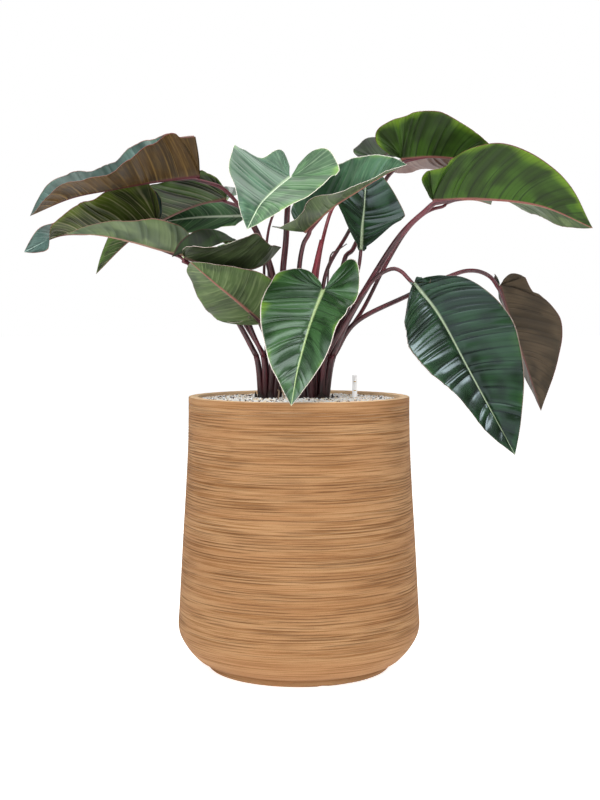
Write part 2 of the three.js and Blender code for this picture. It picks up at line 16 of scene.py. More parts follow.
import bmesh
import bpy
import numpy as np
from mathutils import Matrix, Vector
from numpy.typing import NDArray

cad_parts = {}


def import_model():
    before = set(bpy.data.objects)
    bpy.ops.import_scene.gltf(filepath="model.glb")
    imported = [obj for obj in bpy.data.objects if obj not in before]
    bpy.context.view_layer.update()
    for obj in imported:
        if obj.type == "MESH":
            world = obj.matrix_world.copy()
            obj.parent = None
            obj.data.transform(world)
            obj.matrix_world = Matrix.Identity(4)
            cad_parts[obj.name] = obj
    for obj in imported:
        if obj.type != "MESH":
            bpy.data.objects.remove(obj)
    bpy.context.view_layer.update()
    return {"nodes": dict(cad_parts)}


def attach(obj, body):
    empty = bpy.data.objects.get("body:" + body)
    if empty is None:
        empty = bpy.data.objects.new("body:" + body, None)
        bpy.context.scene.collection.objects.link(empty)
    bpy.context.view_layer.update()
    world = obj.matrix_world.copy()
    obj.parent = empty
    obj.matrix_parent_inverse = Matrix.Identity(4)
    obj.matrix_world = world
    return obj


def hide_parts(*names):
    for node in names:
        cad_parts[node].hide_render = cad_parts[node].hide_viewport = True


LOG = logging.getLogger("plant")
MM = 0.001  # a millimetre in metres
VEINS_PER_UV = 64.0  # lateral veins to one unit of a blade's own coordinates
SPLIT_HEIGHT = 535.0  # where the stalks part from their clump

Array = NDArray[np.float64]
Grid = NDArray[np.int_]
Pair = tuple[float, float]
Point = tuple[float, float, float]
Spread = tuple[float, ...]
Limits = tuple[Any, Any]
Noise = tuple[float, ...]  # a noise's scale, detail and roughness


def linear(code: str) -> tuple[float, float, float, float]:
    """Turns a display colour of six hexadecimal digits into a linear one, by the sRGB curve."""
    parts = (int(code[i : i + 2], 16) / 255 for i in (0, 2, 4))
    return *(c / 12.92 if c <= 0.04045 else ((c + 0.055) / 1.055) ** 2.4 for c in parts), 1.0


def smoothstep(value: Array) -> Array:
    """Eases values from 0 to 1 and holds them at both ends."""
    held = np.clip(value, 0, 1)
    return held * held * (3 - 2 * held)


def unit(vectors: Array) -> Array:
    """Scales the vectors in the last axis to length 1."""
    return vectors / np.linalg.norm(vectors, axis=-1, keepdims=True)


def square_to(vectors: Array, along: Array) -> Array:
    """Gives the directions of the vectors' parts that are square to the unit vectors along."""
    return unit(vectors - np.sum(vectors * along, -1, keepdims=True) * along)


def spread(values: Sequence[Any], share: Array) -> Array:
    """Reads values along a list that is spread evenly from 0 to 1.

    Args:
        values: Numbers or points, at even shares of the length.
        share: The places to read.

    Returns:
        The eased value at each place.
    """
    table = np.array(values, float)
    place = share * (len(table) - 1)
    low = np.minimum(place.astype(int), max(len(table) - 2, 0))
    high = np.minimum(low + 1, len(table) - 1)
    blend = smoothstep(place - low)
    if table.ndim > 1:
        blend = blend[..., None]
    return table[low] * (1 - blend) + table[high] * blend


def around(sides: int) -> Array:
    """Gives evenly spread angles once round, in radians."""
    return np.linspace(0, 2 * np.pi, sides, endpoint=False)


def turned(radius: Any, height: Any, angle: Array, centre: Pair = (0, 0)) -> Array:
    """Gives the points at a distance, height and angle in radians round an upright axis."""
    x, y = centre[0] + radius * np.cos(angle), centre[1] + radius * np.sin(angle)
    return np.stack(np.broadcast_arrays(x, y, height), -1)


class SmoothCurve:
    """A uniform Catmull-Rom curve through points in the plane or in space."""

    STEPS = 200
    NUDGE = 0.0001

    def __init__(self, points: Sequence[Sequence[float]], open_ended: bool = True) -> None:
        """Prepares the curve.

        Args:
            points: What the curve goes through.
            open_ended: True carries the first and last spans on beyond the ends.
        """
        nodes = np.array(points, float)
        ends = 2 * nodes[[0, -1]] - nodes[[1, -2]] if open_ended else nodes[[0, -1]]
        self._nodes = np.vstack([ends[:1], nodes, ends[1:]])
        self._spans = len(nodes) - 1
        self._shares = np.linspace(0, 1, self.STEPS + 1)
        pieces = np.diff(self.at(self._shares), axis=0)
        self._lengths = np.concatenate([[0], np.cumsum(np.linalg.norm(pieces, axis=1))])
        self.length = float(self._lengths[-1])

    def at(self, share: Array) -> Array:
        """Works out points of the curve.

        Args:
            share: The shares of the curve's parameter, from 0 to 1.

        Returns:
            The point at each share.
        """
        place = np.clip(share, 0, 1) * self._spans
        i = np.minimum(place.astype(int), self._spans - 1)
        w = (place - i)[..., None]
        a, b, c, d = (self._nodes[i + k] for k in range(4))
        cubic = 3 * b - 3 * c + d - a
        return b + 0.5 * w * ((c - a) + w * ((2 * a - 5 * b + 4 * c - d) + w * cubic))

    def tangent(self, share: Array) -> Array:
        """Gives the unit direction of travel at the shares."""
        return unit(self.at(share + self.NUDGE) - self.at(share - self.NUDGE))

    def share_at(self, lengths: Array) -> Array:
        """Turns lengths along the curve into shares of its parameter."""
        return np.interp(lengths, self._lengths, self._shares)


class Nodes:
    """Adds nodes to a shader or geometry tree and links them."""

    def __init__(self, tree: bpy.types.NodeTree) -> None:
        """Keeps the tree that the nodes go into."""
        self.tree = tree

    def add(self, kind: str, inputs: dict[Any, Any] | None = None, **settings: Any) -> Any:
        """Adds a node.

        Args:
            kind: The node's type.
            inputs: Values, sockets or nodes, by the input's name or number.
            settings: The node's own properties.

        Returns:
            The new node.
        """
        node = self.tree.nodes.new(kind)
        for name, value in settings.items():
            setattr(node, name, value)
        for key, value in (inputs or {}).items():
            self.feed(node.inputs[key], value)
        return node

    def feed(self, socket: bpy.types.NodeSocket, value: Any) -> None:
        """Fills an input.

        Args:
            socket: The input.
            value: The node or socket to link to it, or its new value.
        """
        if isinstance(value, bpy.types.Node):
            value = value.outputs[0]
        if isinstance(value, bpy.types.NodeSocket):
            self.tree.links.new(value, socket)
        else:
            socket.default_value = value

    def math(self, operation: str, *values: Any) -> Any:
        """Adds a calculation on one to three numbers and gives its result."""
        inputs = dict(enumerate(values))
        return self.add("ShaderNodeMath", inputs, operation=operation).outputs[0]

    def times(self, *values: Any) -> Any:
        """Multiplies two or more numbers and gives the product."""
        return reduce(lambda first, second: self.math("MULTIPLY", first, second), values)

    def vector(self, operation: str, *values: Any) -> Any:
        """Adds a calculation on vectors and gives the node."""
        return self.add("ShaderNodeVectorMath", dict(enumerate(values)), operation=operation)

    def axes(self, vector: Any) -> Any:
        """Splits a vector into its three numbers."""
        return self.add("ShaderNodeSeparateXYZ", {0: vector}).outputs

    def off_axis(self, place: Any) -> tuple[Any, Any]:
        """Gives how far a place is from the planter's axis, and how high it is."""
        x, y, z = self.axes(place)
        return self.math("SQRT", self.math("MULTIPLY_ADD", x, x, self.times(y, y))), z

    def ease(self, value: Any, limits: Limits, start: Any = 0.0, end: Any = 1.0) -> Any:
        """Eases a number from start at the first limit to end at the second one."""
        inputs = {"Value": value, "From Min": limits[0], "From Max": limits[1], "To Min": start,
                  "To Max": end}
        return self.add("ShaderNodeMapRange", inputs, interpolation_type="SMOOTHSTEP").outputs[0]

    def mix(self, factor: Any, first: Any, second: Any) -> Any:
        """Mixes two colours, each a colour code or a socket, and gives the result."""
        a, b = (linear(each) if isinstance(each, str) else each for each in (first, second))
        return self.add("ShaderNodeMix", {0: factor, 6: a, 7: b}, data_type="RGBA").outputs[2]

    def noise(self, place: Any, scale: float, detail: float = 2.0, rough: float = 0.5) -> Any:
        """Adds a noise pattern and gives its value, about 0.5 on average."""
        inputs = {"Vector": place, "Scale": scale, "Detail": detail, "Roughness": rough}
        return self.add("ShaderNodeTexNoise", inputs).outputs[0]


class Skin(Nodes):
    """A material under construction, with its place on the object and its surface."""

    def __init__(self, name: str) -> None:
        """Starts the material.

        Args:
            name: The material's name.
        """
        self.material = bpy.data.materials.new(name)
        self.material.use_nodes = True
        super().__init__(self.material.node_tree)
        self.surface = self.tree.nodes["Principled BSDF"]
        self.place = self.add("ShaderNodeTexCoord").outputs["Object"]

    def attribute(self, name: str, output: str = "Fac") -> Any:
        """Reads one of the mesh's attributes."""
        return self.add("ShaderNodeAttribute", attribute_name=name).outputs[output]

    def stretched(self, scale: Point) -> Any:
        """Gives the place on the object, scaled along each axis."""
        return self.add("ShaderNodeMapping", {"Vector": self.place, "Scale": scale}).outputs[0]

    def laid(self, colour: Any, *layers: tuple[Any, float, str]) -> Any:
        """Lays colours over each other.

        Args:
            colour: The colour below them all.
            layers: The mask, strength and colour code of each, from the bottom up.

        Returns:
            The socket of the colour.
        """
        for mask, strength, code in layers:
            colour = self.mix(self.times(mask, strength), colour, code)
        return colour

    def finish(self, colour: Any, roughness: Any, height: Any = None, depth: float = 0.0,
               **inputs: Any) -> bpy.types.Material:
        """Connects the surface.

        Args:
            colour: The base colour's socket.
            roughness: The roughness as a number or socket.
            height: The socket of the fine relief, or None.
            depth: The depth of the fine relief in millimetres.
            inputs: Further inputs of the surface, with underscores for spaces.

        Returns:
            The finished material.
        """
        inputs |= {"Base_Color": colour, "Roughness": roughness}
        if height is not None:
            bump = {"Height": height, "Distance": depth * MM}
            inputs["Normal"] = self.add("ShaderNodeBump", bump)
        for name, value in inputs.items():
            self.feed(self.surface.inputs[name.replace("_", " ")], value)
        return self.material


@dataclass(frozen=True)
class LeafSide:
    """The colours of one side of a blade, how rough it is and how strongly its layers show."""

    body: str
    patch: str
    margin: str
    vein: str
    rib: str
    edge: str
    roughness: float
    vein_strength: float = 0.3
    pillow_strength: float = 0.35
    thread_strength: float = 0.1
    margin_start: float = 1.16
    gloss: float = 0.2
    tint: str = "ffffff"


class Tone(Enum):
    """The looks that a side of a blade can have."""

    FRESH = LeafSide("2a4a2e", "4a7048", "7aa048", "9fb894", "d4dfc8", "dcd8c8", 0.42, 0.4, 0.4,
                     gloss=0.35)
    LEAN = LeafSide("26442c", "3e6246", "6f9040", "7f9f7a", "8fa580", "d8d2c8", 0.36, 0.25, 0.5,
                    0.2, gloss=0.5, tint="e4f6ff")
    MID = LeafSide("1d361a", "385a33", "7aa038", "0c1a0a", "9cb07a", "e6d8d0", 0.26, 0.5, 0.5,
                   gloss=0.7, tint="e4f6f2")
    DEEP = LeafSide("121f10", "1f3820", "2c4a1e", "050a05", "8f9c80", "7d6c62", 0.22, 0.65, 0.5,
                    gloss=0.3, tint="dcf2ff")
    SHINE = replace(DEEP, gloss=0.9)
    # Painted sheen: a blue-grey tone that stands in for the bluish reflection on these glossy upper
    # sides.
    PAINTED_SHEEN = LeafSide("2c3e38", "4a625c", "4a6450", "1c2e2a", "8ca49c", "8a5a50", 0.38, 0.5, 0.6,
                      gloss=0.35, tint="f4fbf6")
    # Painted shade: an even darker green for the upper sides of leaves that lie in shade.
    PAINTED_SHADE = LeafSide("0c1606", "1c300e", "2e4c12", "2c3a18", "3a2420", "4a2c28", 0.5, gloss=0.15)
    OLIVE = LeafSide("1f300b", "324f12", "5f7d1c", "0c1603", "7a4a44", "5c2a2c", 0.46, 0.6, 0.4,
                     margin_start=1.06)
    BROWN = LeafSide("46331a", "3a2f22", "3e290e", "8a6e3c", "4a2024", "6a2a2e", 0.46, 0.34, 0.45,
                     0.2)
    UMBER = LeafSide("30271a", "443828", "3a2e20", "1c150d", "5a3c36", "5a3230", 0.46, 0.4, 0.5,
                     0.2)
    MOSS = LeafSide("1a2206", "34400e", "4a5814", "a09a78", "5a3028", "6a302c", 0.46, 0.36, 0.6,
                    margin_start=1.02)
    SAGE = LeafSide("323f27", "455733", "3f5c1c", "7e8e62", "8a5c52", "6a3c36", 0.5, 0.3, 0.35,
                    0.25)
    PALE = LeafSide("3a4930", "586844", "465828", "2a361f", "8c6a5c", "7a443c", 0.5, 0.35, 0.5,
                    0.2)
    SLATE = LeafSide("1a210e", "2d381f", "1c2414", "4c5638", "5a443c", "6a403a", 0.5, 0.25, 0.5,
                     0.2)
    DARK = LeafSide("0e160a", "36501e", "4c6a26", "8c8c6c", "6a4a40", "4a2c28", 0.46, 0.45, 0.4,
                    margin_start=0.98)
    MAUVE = LeafSide("6a4c44", "80665c", "5c3830", "4a2a2c", "5c1c26", "5c1c24", 0.45)


@dataclass(frozen=True)
class LeafFinish:
    """The skin of one side of a half blade, with veins that follow the blade's own coordinates.

    Limits are where a layer's mask starts to change and where it stops. Lines are measured from
    the middle of a lateral vein, in spacings of the veins.
    """

    tone: Tone
    mottle_noise: Noise = (60, 3, 0.6)
    waver: float = 0.06
    broad_scale: Pair = (1.6, 0.5)
    fibre_scale: Pair = (2.4, 6.0)
    drift: Point = (4, 4, 4)
    patch: Limits = (0.4, 0.64)
    pillow: Limits = (0.1, 0.5)
    thread: Limits = (0.48, 0.72)
    margin_reach: float = 0.5
    margin_width: float = 0.24
    margin_strength: float = 0.85
    minor_veins: float = 3.0
    minor_line: Limits = (0.03, 0.2)
    minor_strength: float = 0.6
    vein_line: Limits = (0.02, 0.11)
    vein_fade: Limits = (0.3, 1.0)
    vein_end: float = 0.3
    vein_gap: Limits = (0.3, 0.55)
    gap_strength: float = 0.5
    edge: Limits = (0.98, 0.995)
    roughness_swing: float = 0.16
    fibre_height: float = 1.5
    depth: float = 0.07

    @cache
    def material(self) -> bpy.types.Material:
        """Builds the material.

        Returns:
            The material, which is the same at every call.
        """
        side, skin = self.tone.value, Skin(f"leaf_{self.tone.name}".lower())
        across, along = skin.axes(skin.add("ShaderNodeUVMap", uv_map="blade"))[:2]
        mottle = skin.noise(skin.place, *self.mottle_noise)
        waver = skin.math("MULTIPLY_ADD", mottle, self.waver, -self.waver / 2)
        phase = skin.math("MULTIPLY_ADD", along, VEINS_PER_UV, waver)
        lateral = skin.math("PINGPONG", phase, 0.5)
        minor = skin.math("PINGPONG", skin.times(phase, self.minor_veins), 0.5)
        broad = self._streaks(skin, across, phase, self.broad_scale, 1)
        fibre = self._streaks(skin, across, phase, self.fibre_scale, 3)
        reach = skin.math("MULTIPLY_ADD", broad, self.margin_reach, across)
        margin = (side.margin_start, side.margin_start + self.margin_width)
        minor = skin.times(skin.ease(minor, self.minor_line, self.minor_strength, 0.0), fibre)
        vein = skin.times(skin.ease(lateral, self.vein_line, 1.0, 0.0),
                          skin.ease(across, self.vein_fade, 1.0, self.vein_end),
                          skin.ease(broad, self.vein_gap, self.gap_strength))
        colour = skin.laid(
            side.body,
            (skin.ease(broad, self.patch), 1.0, side.patch),
            (skin.times(skin.ease(lateral, self.pillow), fibre), side.pillow_strength, side.patch),
            (skin.ease(reach, margin), self.margin_strength, side.margin),
            (skin.ease(fibre, self.thread), side.thread_strength, side.vein),
            (minor, side.vein_strength, side.vein),
            (vein, side.vein_strength, side.vein),
            (skin.attribute("rib"), 1.0, side.rib),
            (skin.ease(across, self.edge), 1.0, side.edge),
        )
        rough = skin.math("MULTIPLY_ADD", fibre, self.roughness_swing,
                          side.roughness - self.roughness_swing / 2)
        height = skin.math("MULTIPLY_ADD", fibre, self.fibre_height, mottle)
        return skin.finish(colour, rough, height, self.depth, Specular_Tint=linear(side.tint),
                           Specular_IOR_Level=side.gloss)

    def _streaks(self, skin: Skin, across: Any, phase: Any, scale: Pair, detail: float) -> Any:
        """Adds a noise that runs along the lateral veins.

        Args:
            skin: The material.
            across: The place from the midrib to the margin.
            phase: The place along the midrib, counted in lateral veins.
            scale: How fast the noise changes along and across the veins.
            detail: The noise's detail.

        Returns:
            The socket of the noise, about 0.5 on average.
        """
        flat = {i: skin.times(part, scale[i]) for i, part in enumerate((across, phase))}
        flat = skin.add("ShaderNodeCombineXYZ", flat)
        place = skin.vector("MULTIPLY_ADD", skin.place, self.drift, flat)
        return skin.noise(place, 1.0, detail)


@dataclass(frozen=True)
class StalkFinish:
    """The skin of a stalk: a blushed body colour with streaks along it, darker at the foot."""

    name: str
    body: str
    streak: str
    blush: str
    roughness: float = 0.38
    slot: str = ""
    foot_shade: float = 0.0
    shade: str = "180b0a"
    shade_heights: Limits = (0.445, 0.54)
    blush_noise: Noise = (0.9, 2)
    blush_limits: Limits = (0.4, 0.6)
    streak_noise: Noise = (5, 4, 0.6)
    streak_limits: Limits = (0.5, 0.72)
    streak_strength: float = 0.55
    rough_limits: Limits = (0.3, 0.7)
    smoother: float = 0.08
    rougher: float = 0.1
    depth: float = 0.3

    @cache
    def material(self) -> bpy.types.Material:
        """Builds the material.

        Returns:
            The material, which is the same at every call.
        """
        skin = Skin(self.name)
        grain = skin.attribute("grain", "Vector")
        broad = skin.noise(grain, *self.blush_noise)
        fine = skin.noise(grain, *self.streak_noise)
        foot = skin.ease(skin.axes(skin.place)["Z"], self.shade_heights, 1.0, 0.0)
        colour = skin.laid(
            self.body,
            (skin.ease(broad, self.blush_limits), 1.0, self.blush),
            (skin.ease(fine, self.streak_limits), self.streak_strength, self.streak),
            (foot, self.foot_shade, self.shade),
        )
        rough = skin.ease(fine, self.rough_limits, self.roughness - self.smoother,
                          self.roughness + self.rougher)
        return skin.finish(colour, rough, fine, self.depth)


DARK_STALK = StalkFinish("stalk_dark", "2c0d13", "825e62", "581824", slot="dark_stalk",
                         foot_shade=0.8)
RED_STALK = StalkFinish("stalk_red", "6a1c26", "a0525c", "861f30", 0.4, "red_stalk")
DRY_STALK = StalkFinish("stalk_dry", "3a2420", "6b5046", "2a1814", 0.7, "dry_stalk")
HUSK = StalkFinish("husk", "22100f", "4c3a30", "160a0a", 0.75)
ROOT = StalkFinish("root", "a08a70", "cdbb9f", "7a6250", 0.7)
BURIED_GRANULES = StalkFinish("buried_granules", "4c4240", "8f857c", "655a56", 0.9)


@dataclass(frozen=True)
class ClayFinish:
    """Matt clay with fine streaks along its grooves, darker in the grooves by painted shade and
    paler at the lip by painted light on the rim top and the inner wall.
    """

    body: str = "976e48"
    light: str = "a5805a"
    streak: str = "7c532d"
    # Painted shade: this dark colour darkens the grooves; it is also the colour of the clay's dark
    # specks.
    groove: str = "3c2210"
    # Painted light: this pale colour lightens the rim top and the inner wall, which catch the light
    # from above.
    painted_rim_light: str = "f2cfa6"
    band_stretch: Point = (2.0, 2.0, 30.0)
    band_noise: Noise = (2.0, 4, 0.6)
    band_limits: Limits = (0.32, 0.7)
    streak_stretch: Point = (5.0, 5.0, 420.0)
    streak_noise: Noise = (1.0, 4, 0.65)
    streak_limits: Limits = (0.46, 0.62)
    streak_strength: float = 0.85
    groove_strength: float = 0.75
    grain_noise: Noise = (1100, 2)
    speck_limits: Limits = (0.6, 0.72)
    speck_strength: float = 0.45
    painted_light_radius: Limits = (0.1885, 0.1895)
    painted_light_height: Limits = (0.43, 0.44)
    painted_light_strength: float = 0.8
    rough_limits: Limits = (0.2, 0.8)
    roughness: Pair = (0.7, 0.88)
    streak_height: float = 2.0
    depth: float = 0.5
    gloss: float = 0.2

    def material(self) -> bpy.types.Material:
        """Builds the material.

        Returns:
            The material.
        """
        skin = Skin("clay")
        bands = skin.noise(skin.stretched(self.band_stretch), *self.band_noise)
        lines = skin.noise(skin.stretched(self.streak_stretch), *self.streak_noise)
        grain = skin.noise(skin.place, *self.grain_noise)
        radius, height = skin.off_axis(skin.place)
        # Painted light: the rim top and the inner wall, inside the lip's radius and high up, are
        # painted paler.
        inside = skin.ease(radius, self.painted_light_radius, self.painted_light_strength, 0.0)
        colour = skin.laid(
            self.body,
            (skin.ease(bands, self.band_limits), 1.0, self.light),
            (skin.ease(lines, self.streak_limits), self.streak_strength, self.streak),
            # Painted shade in the grooves, read from the groove attribute.
            (skin.attribute("groove"), self.groove_strength, self.groove),
            (skin.ease(grain, self.speck_limits), self.speck_strength, self.groove),
            (inside, skin.ease(height, self.painted_light_height), self.painted_rim_light),
        )
        relief = skin.math("MULTIPLY_ADD", lines, self.streak_height, grain)
        rough = skin.ease(bands, self.rough_limits, *self.roughness)
        return skin.finish(colour, rough, relief, self.depth, Specular_IOR_Level=self.gloss)


@dataclass(frozen=True)
class StoneFinish:
    """Granules in a few mixed colours, chosen stone by stone."""

    colours: tuple[str, ...] = ("ffffff", "f2eee8", "f4e2ca", "463636", "ffffff", "eee4d8")
    speck: str = "57494a"
    speck_strength: float = 0.25
    speck_limits: Limits = (0.45, 0.8)
    grain_noise: Noise = (1400, 3)
    roughness: float = 0.8
    depth: float = 0.2

    def material(self) -> bpy.types.Material:
        """Builds the material.

        Returns:
            The material.
        """
        skin = Skin("stones")
        tone, colour = skin.attribute("tone"), self.colours[0]
        for i, code in enumerate(self.colours[1:], 1):
            colour = skin.mix(skin.math("GREATER_THAN", tone, i / len(self.colours)), colour, code)
        grain = skin.noise(skin.place, *self.grain_noise)
        specks = skin.ease(grain, self.speck_limits, 0.0, self.speck_strength)
        return skin.finish(skin.mix(specks, colour, self.speck), self.roughness, grain, self.depth)


@dataclass(frozen=True)
class PlasticFinish:
    """Smooth plastic with a faint cloud in its colour, and a painted glow from its emission."""

    name: str
    body: str
    cloud: str
    roughness: float
    # Painted light: an emission that makes the plastic glow, though it is no lamp.
    painted_glow: float = 0.0
    cloud_noise: Noise = (220, 2)
    depth: float = 0.05

    def material(self) -> bpy.types.Material:
        """Builds the material.

        Returns:
            The material.
        """
        skin = Skin(self.name)
        clouds = skin.noise(skin.place, *self.cloud_noise)
        colour = skin.mix(clouds, self.body, self.cloud)
        return skin.finish(colour, self.roughness, clouds, self.depth, Emission_Strength=self.painted_glow,
                           Emission_Color=linear(self.body))


# The clear sleeve glows: painted light that brightens it in the shade under the leaves.
CLEAR = PlasticFinish("clear_plastic", "fafafa", "f1f2f3", 0.4, 0.3)
PRINT = PlasticFinish("mark", "d9a92c", "c99a24", 0.5)
FLOAT = PlasticFinish("float_plastic", "b0362a", "962c22", 0.4)


class MeshData:
    """Points, faces and attributes of one piece while it is being made, in millimetres."""

    def __init__(self) -> None:
        """Starts with nothing."""
        self.points: list[Array] = []
        self.faces: list[Sequence[int]] = []
        self.groups: list[int] = []
        self.loops: list[Array] = []
        self.values: dict[str, list[Array]] = {}
        self.count = 0

    def add_points(self, points: Array, **values: Array) -> Grid:
        """Adds points with their attribute values.

        Args:
            points: The points, in a grid of any shape.
            values: A value or a row of values for each point, by the attribute's name.

        Returns:
            The points' numbers, in the grid's shape.
        """
        numbers = self.count + np.arange(points.size // 3).reshape(points.shape[:-1])
        self.points.append(points.reshape(-1, 3))
        self.count += numbers.size
        for name, value in values.items():
            rows = np.asarray(value, float).reshape(numbers.size, -1)
            self.values.setdefault(name, []).append(rows)
        return numbers

    def add_quads(self, numbers: Grid, flip: bool = False, group: int = 0,
                  uv: Array | None = None) -> None:
        """Joins a grid of points with quads.

        Args:
            numbers: The points' numbers, in rows and columns.
            flip: True turns the quads over.
            group: The material's number.
            uv: The grid's own coordinates, in rows and columns of two.
        """
        corners = ((0, 0), (0, 1), (1, 1), (1, 0))[:: -1 if flip else 1]
        rows, columns = numbers.shape
        cuts = [np.s_[r : rows - 1 + r, c : columns - 1 + c] for r, c in corners]
        quads = np.stack([numbers[cut].ravel() for cut in cuts], 1)
        self.faces += quads.tolist()
        self.groups += [group] * len(quads)
        if uv is not None:
            self.loops.append(np.stack([uv[cut].reshape(-1, 2) for cut in cuts], 1).ravel())

    def add_cap(self, ring: Grid, group: int = 0) -> None:
        """Closes a ring of points with one face."""
        self.faces.append(ring.tolist())
        self.groups.append(group)

    def add_tube(self, rings: Array, group: int = 0, **values: Array) -> None:
        """Joins rings of points into a tube that is closed at both ends.

        Args:
            rings: The points, ring by ring.
            group: The material's number.
            values: As for add_points.
        """
        numbers = self.add_points(rings, **values)
        self.add_quads(np.hstack([numbers, numbers[:, :1]]), group=group)
        self.add_cap(numbers[0, ::-1], group)
        self.add_cap(numbers[-1], group)

    def add_sheet(self, outer: Array, inner: Array, group: int = 0, **values: Array) -> None:
        """Joins two grids of points into a closed sheet.

        Args:
            outer: The points of the outer side, in rows and columns.
            inner: The points of the inner side.
            group: The material's number.
            values: As for add_points, for either side.
        """
        front, back = (self.add_points(points, **values) for points in (outer, inner))
        self.add_quads(front, group=group)
        self.add_quads(back, flip=True, group=group)
        border = [np.concatenate([n[0], n[1:, -1], n[-1, -2::-1], n[-2::-1, 0]])
                  for n in (back, front)]
        self.add_quads(np.stack(border), group=group)

    def to_object(self, name: str, *materials: bpy.types.Material,
                  merge: float = 0.0) -> bpy.types.Object:
        """Makes the object and dresses it.

        Args:
            name: The piece's name.
            materials: The materials, by number.
            merge: The distance in millimetres within which points become one.

        Returns:
            The smooth shaded object, linked to the scene.
        """
        mesh = bpy.data.meshes.new(name)
        mesh.from_pydata((np.vstack(self.points) * MM).tolist(), [], self.faces)
        for attribute, rows in self.values.items():
            data = np.vstack(rows)
            kind, slot = ("FLOAT", "value") if data.shape[1] == 1 else ("FLOAT_VECTOR", "vector")
            layer = mesh.attributes.new(attribute, kind, "POINT")
            layer.data.foreach_set(slot, data.ravel().astype(np.float32))
        if self.loops:
            layer = mesh.uv_layers.new(name="blade")
            layer.data.foreach_set("uv", np.concatenate(self.loops).astype(np.float32))
        mesh.polygons.foreach_set("material_index", self.groups)
        mesh.polygons.foreach_set("use_smooth", [True] * len(self.faces))
        for material in materials:
            mesh.materials.append(material)
        if merge:
            body = bmesh.new()
            body.from_mesh(mesh)
            bmesh.ops.remove_doubles(body, verts=body.verts, dist=merge * MM)
            bmesh.ops.dissolve_degenerate(body, edges=body.edges, dist=merge * MM)
            body.to_mesh(mesh)
            body.free()
        mesh.update()
        return in_scene(bpy.data.objects.new(name, mesh))


def in_scene(piece: bpy.types.Object) -> bpy.types.Object:
    """Links an object to the scene and gives it back."""
    bpy.context.scene.collection.objects.link(piece)
    return piece


def settle(piece: bpy.types.Object, slot: str, *nodes: str) -> None:
    """Hands a finished piece to the frame and reports it.

    Args:
        piece: The piece, at the origin.
        slot: The name of a material slot; not used.
        nodes: The solids' nodes that it stands for.
    """
    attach(piece, "root")
    if nodes:
        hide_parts(*nodes)
    LOG.info("%s: %d faces", piece.name, len(piece.data.polygons))


class Outline(Enum):
    """Half outlines of a blade, from the notch at the stalk round the basal lobe to the tip.

    The first number runs along the midrib, in lobe lengths where negative and in blade lengths
    where positive. The second runs across, in half widths.
    """

    HEART = (
        (-0.5, 0.1), (-1, 0.34), (-0.92, 0.64), (-0.35, 0.88), (0.08, 0.98), (0.22, 1),
        (0.38, 0.97), (0.53, 0.86), (0.68, 0.66), (0.82, 0.4), (0.93, 0.17), (1, 0),
    )
    OBLONG = (
        (-0.6, 0.12), (-1, 0.28), (-0.5, 0.48), (0.06, 0.6), (0.16, 0.76), (0.28, 0.92), (0.42, 1),
        (0.55, 0.92), (0.68, 0.72), (0.82, 0.43), (0.93, 0.16), (1, 0),
    )
    SLOPED = (
        (-0.5, 0.04), (-1, 0.1), (0, 0.16), (0.05, 0.3), (0.12, 0.46), (0.22, 0.65), (0.34, 0.82),
        (0.47, 0.95), (0.6, 0.97), (0.76, 0.76), (0.9, 0.36), (1, 0),
    )
    SHOULDERED = (
        (-0.5, 0.03), (-1, 0.08), (0.04, 0.08), (0.1, 0.2), (0.17, 0.4), (0.25, 0.64),
        (0.35, 0.88), (0.45, 1), (0.55, 0.95), (0.7, 0.6), (0.88, 0.33), (1, 0),
    )
    ROUNDED = (
        (-0.5, 0.1), (-1, 0.3), (-0.9, 0.52), (-0.3, 0.72), (0.04, 0.86), (0.11, 0.96), (0.22, 1),
        (0.36, 0.97), (0.53, 0.86), (0.7, 0.62), (0.88, 0.3), (1, 0),
    )
    SHORT = (
        (-0.5, 0.03), (-1, 0.08), (0.05, 0.1), (0.1, 0.25), (0.13, 0.6), (0.16, 0.9), (0.24, 1),
        (0.36, 0.92), (0.52, 0.76), (0.7, 0.6), (0.86, 0.42), (1, 0),
    )
    NOTCHED = (
        (-0.5, 0.1), (-1, 0.3), (-0.9, 0.46), (-0.17, 0.6), (-0.08, 0.82), (0.06, 0.97),
        (0.14, 1.07), (0.32, 0.99), (0.55, 0.85), (0.74, 0.55), (0.9, 0.24), (1, 0),
    )
    TAPERED = (
        (-0.5, 0.03), (-1, 0.08), (0.03, 0.14), (0.11, 0.28), (0.19, 0.52), (0.27, 0.8),
        (0.36, 0.97), (0.45, 1), (0.58, 0.9), (0.72, 0.7), (0.88, 0.36), (1, 0),
    )


@dataclass(frozen=True)
class Half:
    """One half of a blade, with its fold at even shares from the stalk to the tip.

    The lobe is the length of its ear behind the stalk, and the lift is how far the ear rises. A
    belly over 1 moves the widest place towards the stalk, and the wave is that of its margin.
    """

    width: float
    fold: Spread
    outline: Outline = Outline.HEART
    lobe: float = 10
    lift: float = 0
    belly: float = 1
    wave: float = 3
    upper: Tone | None = None
    under: Tone | None = None


@dataclass(frozen=True)
class Leaf:
    """The course of a stalk, the shape of its blade, and the looks of both.

    A half of the blade has the leaf's own tones, unless it names others.
    """

    clump: str
    split: Pair
    radius: float
    stalk: tuple[Point, ...]
    midrib: tuple[Point, ...]
    left: Half
    right: Half
    face: tuple[Point, ...] = ((0, 0, 1),)
    slot: str = "deep_green"
    upper: Tone = Tone.DEEP
    under: Tone = Tone.SAGE
    quilting: float = 1
    skin: StalkFinish = DARK_STALK

    def tones(self, half: Half) -> tuple[Tone, Tone]:
        """Gives the looks of a half's upper side and underside."""
        return half.upper or self.upper, half.under or self.under


